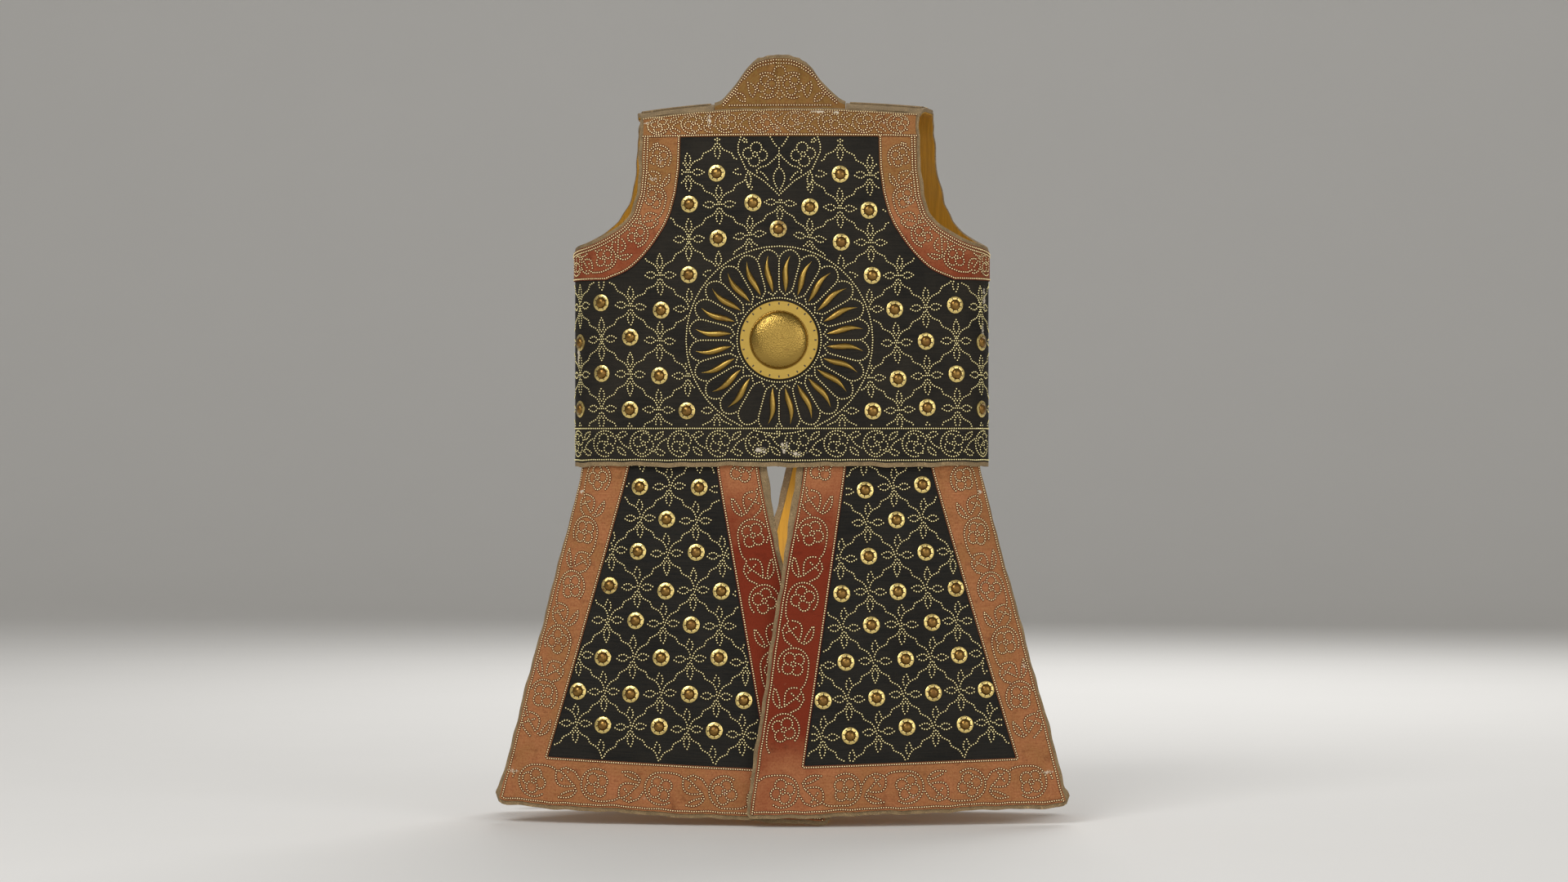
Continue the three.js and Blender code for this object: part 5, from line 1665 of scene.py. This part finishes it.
class COAT_OT_panels(bpy.types.Operator):
    """Lay the dark panels of the back, the fronts and the skirts"""

    bl_idname = "coat.panels"
    bl_label = "Panels"

    UNDER_BAND = 1.5
    BROWNED = {"back": 0.9, "front": 0.7, "skirt": 0.1}
    BACK_WORN = staticmethod(patches(
        (-21, 15, 9, 4, 1.0), (6, 19, 5, 9, 0.9), (22, 12, 9, 4, 0.9), (-248, 128, 6, 24, 0.8),
        (-244, 100, 4, 8, 0.6), (250, 190, 6, 18, 0.8), (246, 152, 5, 14, 0.7), (-2, 75, 1.2, 34, 0.55),
    ))

    def execute(self, context):
        sizes, colours = context.scene.coat_sizes, context.scene.coat_colours
        raw = sizes.raw_edge / MM + self.UNDER_BAND
        field, edge = field_cloth(colours), edge_cloth(colours)
        finishes = [field, edge, edge, edge]

        def back_bare(x, y):
            gaps = [gap_to(back_armhole(side), x, y) for side in (-1, 1)]
            return (np.minimum(*gaps) < raw) | (y > BACK_TOP - raw) | (y < WAIST_BARE)

        cut = Cut(BACK, UPS, partial(back_across, 0.0), CELLS["back_panel"], BACK_TRIM)
        made = lay_cloth("back_panel", cut, PANEL, finishes, bare=back_bare, fade=self.BROWNED["back"],
                         worn=self.BACK_WORN)
        declare_panel(*made, "hung", *FRONT_CLOTHS)
        for name, side in SIDES:
            def bare(x, y, side=side):
                gaps = np.minimum(gap_to(front_armhole(side), x, y), gap_to(front_neck(side), x, y))
                return (gaps < raw) | (y < WAIST_BARE) | (y > FRONT_END - STRAP_BARE)

            cut = Cut(FRONT, FRONT_UPS, partial(front_across, side, 0.0), CELLS["front_panel"], FRONT_TRIMS[name])
            made = lay_cloth("front_panel_" + name, cut, PANEL, finishes, bare=bare, fade=self.BROWNED["front"])
            declare_panel(*made, "hung", BACK_CLOTH)
        for skirt in SKIRTS:
            lines = skirt_lines(skirt)

            def bare(x, y, lines=lines, skirt=skirt):
                gaps = np.minimum(gap_to(lines["outer"], x, y), gap_to(lines["hem"], x, y))
                return (gaps < raw) | (x - skirt_edges(skirt, y)[0] < slit_fray(raw, y))

            cut = Cut(SKIRT_FACES[skirt.name], np.linspace(0, skirt_drop(skirt), ROWS["skirt"]),
                      partial(skirt_across, skirt, 0.0, 0.0), CELLS["skirt"], partial(skirt_trim, skirt))
            made = lay_cloth("skirt_" + skirt.name, cut, PANEL, finishes, bare=bare, fade=self.BROWNED["skirt"])
            declare_panel(*made, "hung", *([BACK_CLOTH] if skirt.face < 0 else FRONT_CLOTHS))
        return {"FINISHED"}


class COAT_OT_linings(bpy.types.Operator):
    """Lay the mustard linings inside the panels and skirts"""

    bl_idname = "coat.linings"
    bl_label = "Linings"

    INSET = 0.6
    SKIRT_INSET = 0.8
    SKIRT_START = 2.0
    SHORT = 6.0

    def heights(self, ups, top):
        """A lining's rows, from above the hem to just below the top edge."""
        return np.concatenate([[LINING_FOOT], ups[(ups > LINING_FOOT + 1) & (ups < top - self.SHORT)]])

    def execute(self, context):
        finishes = [lining_cloth(context.scene.coat_colours)] * 3
        cut = Cut(BACK, self.heights(UPS, BACK_TOP), partial(back_across, self.INSET), CELLS["back_lining"], BACK_TRIM)
        declare_panel(*lay_cloth("back_lining", cut, LINING, finishes), "laid", BACK_CLOTH)
        ups = self.heights(FRONT_UPS, FRONT_END)
        for name, side in SIDES:
            across = partial(front_across, side, self.INSET)
            cut = Cut(FRONT, ups, across, CELLS["front_lining"], FRONT_TRIMS[name])
            made = lay_cloth("front_lining_" + name, cut, LINING, finishes)
            declare_panel(*made, "laid", f"front_panel_{name}_cloth")
        for skirt in SKIRTS:
            slit = SLIT_FRAY["inside"] if skirt.face > 0 else self.SKIRT_INSET
            rows = np.linspace(self.SKIRT_START, skirt_drop(skirt) - self.INSET, ROWS["skirt_lining"])
            cut = Cut(SKIRT_FACES[skirt.name], rows, partial(skirt_across, skirt, slit, self.SKIRT_INSET),
                      CELLS["skirt_lining"], partial(skirt_trim, skirt))
            made = lay_cloth("skirt_lining_" + skirt.name, cut, LINING, finishes)
            declare_panel(*made, "laid", f"skirt_{skirt.name}_cloth")
        return {"FINISHED"}


class COAT_OT_bands(bpy.types.Operator):
    """Lay the red bands and borders on the panels, leaving their frayed edges bare"""

    bl_idname = "coat.bands"
    bl_label = "Bands and borders"

    TOP_WORN = staticmethod(patches(
        (-81, 394, 3.5, 11, 1.0), (-62, 398, 3, 5, 0.8), (46, 406, 11, 3.5, 1.0), (65, 404, 5, 4, 0.8),
        (-152, 398, 8, 3, 0.9), (20, 388, 4, 3, 0.7), (-2, 385, 9, 3, 0.7), (120, 392, 5, 3, 0.6),
        (-110, 404, 6, 3, 0.6),
    ))
    SIDE_WORN = staticmethod(patches(
        (-146, 326, 8, 2.5, 0.9), (-137, 345, 3, 5, 0.7), (148, 300, 3, 7, 0.7), (152, 352, 6, 3, 0.6),
    ))
    SKIRT_WORN = staticmethod(patches(
        (14, 22, 8, 5, 0.9), (6, 60, 4, 16, 0.7), (244, 52, 6, 5, 0.8), (250, 30, 12, 6, 0.5),
        (308, 372, 10, 5, 0.7), (150, 392, 14, 4, 0.6), (60, 380, 8, 4, 0.6), (288, 250, 4, 12, 0.6),
    ))

    def execute(self, context):
        sizes, colours = context.scene.coat_sizes, context.scene.coat_colours
        raw = sizes.raw_edge / MM
        finishes = [band_cloth(colours), edge_cloth(colours)] * 2
        self.back_bands(raw, finishes)
        self.front_borders(raw, finishes)
        self.skirt_borders(raw, finishes)
        return {"FINISHED"}

    def back_bands(self, raw, finishes):
        edge_at = inset_edge(DENSE, read(BACK_ROWS, "edge", DENSE), raw)

        def rim(y):
            return np.minimum(edge_at(y), SIDE)

        ups = np.append(UPS[(UPS >= TOP_BAND_FOOT) & (UPS < BACK_TOP - raw)], BACK_TOP - raw)
        cut = Cut(BACK, ups, lambda u, y: (2 * u - 1) * rim(y), CELLS["top_band"], BACK_TRIM)
        made = lay_cloth("back_top_band", cut, BAND, finishes, fade=top_fade, worn=self.TOP_WORN)
        declare_panel(*made, "laid", BACK_CLOTH)
        ups = np.append(UPS[(UPS >= BAND_FOOT) & (UPS < TOP_BAND_FOOT)], TOP_BAND_FOOT - SEAM_GAP)
        for name, side in SIDES:
            def across(u, y, side=side):
                return side * lerp(read(BACK_ROWS, "band", y), rim(y), u)

            cut = Cut(BACK, ups, across, CELLS["armhole_band"], BACK_TRIM)
            made = lay_cloth("back_armhole_band_" + name, cut, BAND, finishes, fade=armhole_fade, worn=self.SIDE_WORN)
            declare_panel(*made, "laid", BACK_CLOTH)

    def front_borders(self, raw, finishes):
        ups = np.concatenate([[raw], FRONT_UPS[(FRONT_UPS > raw + 1) & (FRONT_UPS < FRONT_END - STRAP_BARE)]])

        def keep(u, y):
            return (u < 1 / 3) | ((u > 2 / 3) & (y > BAND_FOOT)) | (y > FRONT_TOP_FOOT)

        def bare(x, y):
            return y > FRONT_END - STRAP_FRAYED

        for name, side in SIDES:
            edge_at = inset_edge(FRONT_DENSE, front_edge(side, FRONT_DENSE), raw)
            neck_at = inset_edge(FRONT_UPS, np.maximum(read(FRONT_ROWS, "neck", FRONT_UPS), FRONT_GAP / 2), -raw)

            def across(u, y, side=side, edge_at=edge_at, neck_at=neck_at):
                seams = [read(FRONT_ROWS, column, y) for column in ("trim", "band")]
                return side * in_thirds([neck_at(y), *seams, np.minimum(edge_at(y), SIDE)], u)

            cut = Cut(FRONT, ups, across, CELLS["front_border"], FRONT_TRIMS[name])
            made, area, _ = lay_cloth("front_border_" + name, cut, BAND, finishes, keep, bare, front_fade)

    def skirt_borders(self, raw, finishes):
        for skirt in SKIRTS:
            foot = skirt_drop(skirt)
            seam_foot = foot - SKIRT_HEM["strip"]

            def across(u, y, skirt=skirt):
                inner, outer = skirt_edges(skirt, y)
                return in_thirds([inner + slit_fray(raw, y), *skirt_seams(skirt, y), outer - raw], u)

            def keep(u, y, seam_foot=seam_foot):
                return (u < 1 / 3) | (u > 2 / 3) | (y > seam_foot)

            sides = np.linspace(0, seam_foot, ROWS["border_side"])
            ys = np.unique(np.concatenate([sides, np.linspace(seam_foot, foot - raw, ROWS["border_foot"])]))
            cut = Cut(SKIRT_FACES[skirt.name], ys, across, CELLS["skirt_border"], partial(skirt_trim, skirt))
            made, area, _ = lay_cloth("skirt_border_" + skirt.name, cut, BAND, finishes, keep,
                                      fade=partial(skirt_fade, skirt), worn=self.SKIRT_WORN)


class COAT_OT_neck_guard(bpy.types.Operator):
    """Stand the lobed neck guard inside the back neckline"""

    bl_idname = "coat.neck_guard"
    bl_label = "Neck guard"

    RISE = 60.0
    BARE = 4.0

    def execute(self, context):
        colours = context.scene.coat_colours
        half = GUARD["half"]
        across = np.linspace(-half, half, 120)
        edge = xy(across, guard_top(across))

        def height(x, y):
            return lerp(guard_foot(x)[..., 2] - GUARD["lap"], guard_top(x), y / self.RISE)

        def bare(x, y):
            return gap_to(edge, x, height(x, y)) < self.BARE

        surface = Surface(lambda x, y: guard_point(x, height(x, y)), 1)
        rows = np.linspace(0, self.RISE, ROWS["neck_guard"])
        cut = Cut(surface, rows, lambda u, y: lerp(-half, half, u), CELLS["neck_guard"])
        finishes = [band_cloth(colours), edge_cloth(colours), lining_cloth(colours), lining_cloth(colours)]
        piece, area, _ = lay_cloth("neck_guard", cut, COLLAR, finishes, bare=bare, fade=1.0)
        size = (2 * half * MM, (GUARD["top"] + 2 * GUARD["lap"]) * MM)
        declare_panel(piece, area, size, "stretched", BACK_CLOTH)
        return {"FINISHED"}


class COAT_OT_sun(bpy.types.Operator):
    """Set the brass dish of the sun on the back, with its curved rays"""

    bl_idname = "coat.sun"
    bl_label = "Sun"

    DISH = [
        (44.8, -0.3), (44.8, 1.4), (44.4, 1.8), (34.0, 1.8), (33.6, 1.2), (33.0, 1.4), (32.5, 3.4),
        (31.3, 5.4), (29.2, 7.2), (26.0, 8.8), (21.6, 10.0), (15.6, 10.8), (8.0, 11.2), (0.0, 11.3),
    ]
    SPLIT = 33.6
    STEPS = 64
    BRONZE = 0.75
    PINS = {"Count": 24.0, "Radius": 0.0418, "Length": 0.0026, "Width": 0.0016}
    RAY_CELLS = (14, 6)
    RAY_TAPER = {"least": 0.03, "bias": 0.85}
    RAY_TWIST = 0.35
    RAY_SINK = 0.2
    RAY_ROUND = 0.6

    def execute(self, context):
        colours = context.scene.coat_colours
        bronze = [lerp(dark, bright, self.BRONZE) for bright, dark in zip(colours.brass, colours.brass_dark)]
        finishes = [
            brass("sun_rim", colours.brass, colours.brass_dark, 0.34, 38.0, 0.16, self.PINS, dents=(0.0003, 0.3)),
            brass("sun_dome", bronze, colours.brass_dark, 0.27, 150.0, 0.3, dents=(0.0007, 0.4)),
        ]
        ray = brass("ray_brass", bronze, colours.brass_dark, 0.3, 55.0, 0.34)
        mesh = turned_shape("sun_dish", self.DISH, self.STEPS, finishes, self.SPLIT, plate=True)
        at = np.array([0.0]), np.array([SUN["up"]])
        rim = ring((0.0, SUN["up"]), SUN["rim"])
        spot = BACK.place(*at, LAY_GAP)[0] * MM
        normal = Vector(BACK.normal(rim[:, 0], rim[:, 1]).mean(axis=0))
        turn = normal.to_track_quat("Z", "Y").to_matrix().to_4x4()
        mesh.transform(Matrix.Translation(spot) @ turn)
        link_piece("sun_dish", mesh, ["sun_boss"])
        self.rays(ray)
        return {"FINISHED"}

    def rays(self, finish):
        """Every ray from a grid: length outwards, a ridge along its middle, and a bend to one side."""
        rays = bmesh.new()
        cells = self.RAY_CELLS
        for index in range(RAY_PLACES):
            if index == RAY_LOST:
                continue
            made = bmesh.ops.create_grid(rays, x_segments=cells[0], y_segments=cells[1], size=0.5)["verts"]
            flat = np.array([vert.co for vert in made])
            share, aside = flat[:, 0] + 0.5, 2 * flat[:, 1]
            angle = 2 * math.pi * (index + 0.5) / RAY_PLACES
            way = np.array([math.sin(angle), math.cos(angle)])
            left = np.array([way[1], -way[0]])
            taper = np.sin(np.pi * share ** self.RAY_TAPER["bias"])
            half = RAY["half"] * np.maximum(self.RAY_TAPER["least"], taper)
            run = lerp(RAY["start"], RAY["end"], share)
            bend = self.RAY_TWIST * np.sin(2 * np.pi * share) - np.sin(np.pi * share)
            off = RAY["sway"] * bend + aside * half
            spot = np.outer(run, way) + np.outer(off, left)
            crown = self.RAY_SINK + RAY["ridge"] * half / RAY["half"]
            lift = crown * (1 - aside ** 2) ** self.RAY_ROUND - self.RAY_SINK
            for vert, place in zip(made, BACK.place(spot[:, 0], spot[:, 1] + SUN["up"], lift) * MM):
                vert.co = place
        bmesh.ops.recalc_face_normals(rays, faces=rays.faces[:])
        for face in rays.faces:
            face.smooth = True
            if face.normal.y > 0:
                face.normal_flip()
        mesh = finished_mesh("sun_rays", rays, [finish])
        nodes = [f"sun_ray_{index + 1:02d}" for index in range(RAY_PLACES) if index != RAY_LOST]
        link_piece("sun_rays", mesh, nodes)


class COAT_OT_stage(bpy.types.Operator):
    """Make the pale floor and backdrop, the soft lights and the camera"""

    bl_idname = "coat.stage"
    bl_label = "Stage"

    FLOOR_HEIGHT = -0.829
    FLOOR = {"across": 10.0, "front": -6.5, "behind": 7.5, "wall": 8.0, "sweep": 2.5}
    SKY = {"colour": (1.0, 0.975, 0.93, 1.0), "light": 0.32, "seen": 0.46}
    CAMERA = {"distance": 4.5, "turn": math.radians(2), "height": -0.3914, "aside": 0.00285, "focal": 88.8}
    Lamp = namedtuple("Lamp", "name place aim size power")
    MIDDLE = (0.0, 0.0, -0.39)
    LAMPS = [
        Lamp("front", (0.0, -6.6, 0.1), MIDDLE, 4.4, 70.0),
        Lamp("key", (-1.7, -2.9, 2.3), MIDDLE, 2.0, 78.0),
        Lamp("fill", (2.8, -3.0, 0.6), MIDDLE, 2.4, 34.0),
        Lamp("behind", (0.6, 2.8, 1.8), MIDDLE, 2.4, 70.0),
        Lamp("slit", (0.0, -0.02, -0.52), (0.0, 0.1, -0.53), 0.12, 0.13),
    ]

    def execute(self, context):
        colours = context.scene.coat_colours
        made, tree, shader = material("studio_floor")
        if tree:
            spot = add(tree, "ShaderNodeTexCoord").outputs["Object"]
            tone = blend(tree, noise(tree, spot, 3.0, 4.0), rgba(colours.floor, 0.97), rgba(colours.floor))
            tree.links.new(tone, shader.inputs["Base Color"])
            shader.inputs["Roughness"].default_value = 0.9
        floor = bmesh.new()
        plan = self.FLOOR
        bmesh.ops.create_grid(floor, x_segments=1, y_segments=1, size=1.0)
        deep, middle = (plan["behind"] - plan["front"]) / 2, (plan["behind"] + plan["front"]) / 2
        bmesh.ops.scale(floor, verts=floor.verts[:], vec=(plan["across"], deep, 1))
        back = [edge for edge in floor.edges if all(vert.co.y > 0 for vert in edge.verts)]
        raised = bmesh.ops.extrude_edge_only(floor, edges=back)["geom"]
        upper = [part for part in raised if isinstance(part, bmesh.types.BMVert)]
        bmesh.ops.translate(floor, verts=upper, vec=(0, 0, plan["wall"]))
        bmesh.ops.translate(floor, verts=floor.verts[:], vec=(0, middle, self.FLOOR_HEIGHT))
        bmesh.ops.bevel(floor, geom=back, offset=plan["sweep"], affect="EDGES", segments=16, profile=0.5,
                        material=-1)
        for face in floor.faces:
            face.smooth = True
        bmesh.ops.recalc_face_normals(floor, faces=floor.faces[:])
        ground = bpy.data.objects.new("studio_floor", finished_mesh("studio_floor", floor, [made]))
        context.scene.collection.objects.link(ground)
        context.scene.view_settings.view_transform = "Standard"
        self.lights(context.scene)
        self.camera(context.scene)
        return {"FINISHED"}

    def lights(self, scene):
        for lamp in self.LAMPS:
            data = bpy.data.lights.new(lamp.name, "AREA")
            data.energy = lamp.power
            data.size = lamp.size
            light = bpy.data.objects.new(lamp.name, data)
            light.location = lamp.place
            light.rotation_euler = (Vector(lamp.aim) - Vector(lamp.place)).to_track_quat("-Z", "Y").to_euler()
            light.visible_camera = False
            scene.collection.objects.link(light)
        world = bpy.data.worlds.new("studio")
        world.use_nodes = True
        tree = world.node_tree
        light = tree.nodes["Background"]
        light.inputs["Color"].default_value = self.SKY["colour"]
        light.inputs["Strength"].default_value = self.SKY["light"]
        seen = add(tree, "ShaderNodeBackground", {"Color": self.SKY["colour"], "Strength": self.SKY["seen"]})
        direct = add(tree, "ShaderNodeLightPath").outputs["Is Camera Ray"]
        sky = add(tree, "ShaderNodeMixShader", {0: direct, 1: light.outputs[0], 2: seen.outputs[0]})
        tree.links.new(sky.outputs[0], tree.nodes["World Output"].inputs["Surface"])
        scene.world = world

    def camera(self, scene):
        view = self.CAMERA
        data = bpy.data.cameras.new("camera")
        data.lens = view["focal"]
        data.sensor_width = 36.0
        eye = bpy.data.objects.new("camera", data)
        right = Vector((math.cos(view["turn"]), math.sin(view["turn"]), 0))
        ahead = Vector((-math.sin(view["turn"]), math.cos(view["turn"]), 0))
        eye.location = right * view["aside"] - ahead * view["distance"] + Vector((0, 0, view["height"]))
        eye.rotation_euler = ahead.to_track_quat("-Z", "Y").to_euler()
        scene.collection.objects.link(eye)
        scene.camera = eye


class COAT_PT_panel(bpy.types.Panel):
    """Lists the coat's pieces, sizes and colours"""

    bl_idname = "COAT_PT_panel"
    bl_label = "Studded coat"
    bl_space_type = "VIEW_3D"
    bl_region_type = "UI"
    bl_category = "Coat"

    def draw(self, context):
        for maker in MAKERS:
            self.layout.operator(maker.bl_idname)
        for group_name in ("coat_sizes", "coat_colours"):
            values = getattr(context.scene, group_name)
            for key in values.__annotations__:
                self.layout.prop(values, key)


MAKERS = [COAT_OT_rosettes, COAT_OT_nails, COAT_OT_panels, COAT_OT_linings, COAT_OT_bands, COAT_OT_neck_guard,
          COAT_OT_sun, COAT_OT_stage]
CLASSES = [CoatSizes, CoatColours, *MAKERS, COAT_PT_panel]


def register():
    for kind in CLASSES:
        bpy.utils.register_class(kind)
    bpy.types.Scene.coat_sizes = PointerProperty(type=CoatSizes)
    bpy.types.Scene.coat_colours = PointerProperty(type=CoatColours)


def unregister():
    del bpy.types.Scene.coat_colours
    del bpy.types.Scene.coat_sizes
    for kind in reversed(CLASSES):
        bpy.utils.unregister_class(kind)


def main():
    """Make every piece in order."""
    register()
    for maker in MAKERS:
        family, name = maker.bl_idname.split(".")
        getattr(getattr(bpy.ops, family), name)()


if __name__ == "__main__":
    main()
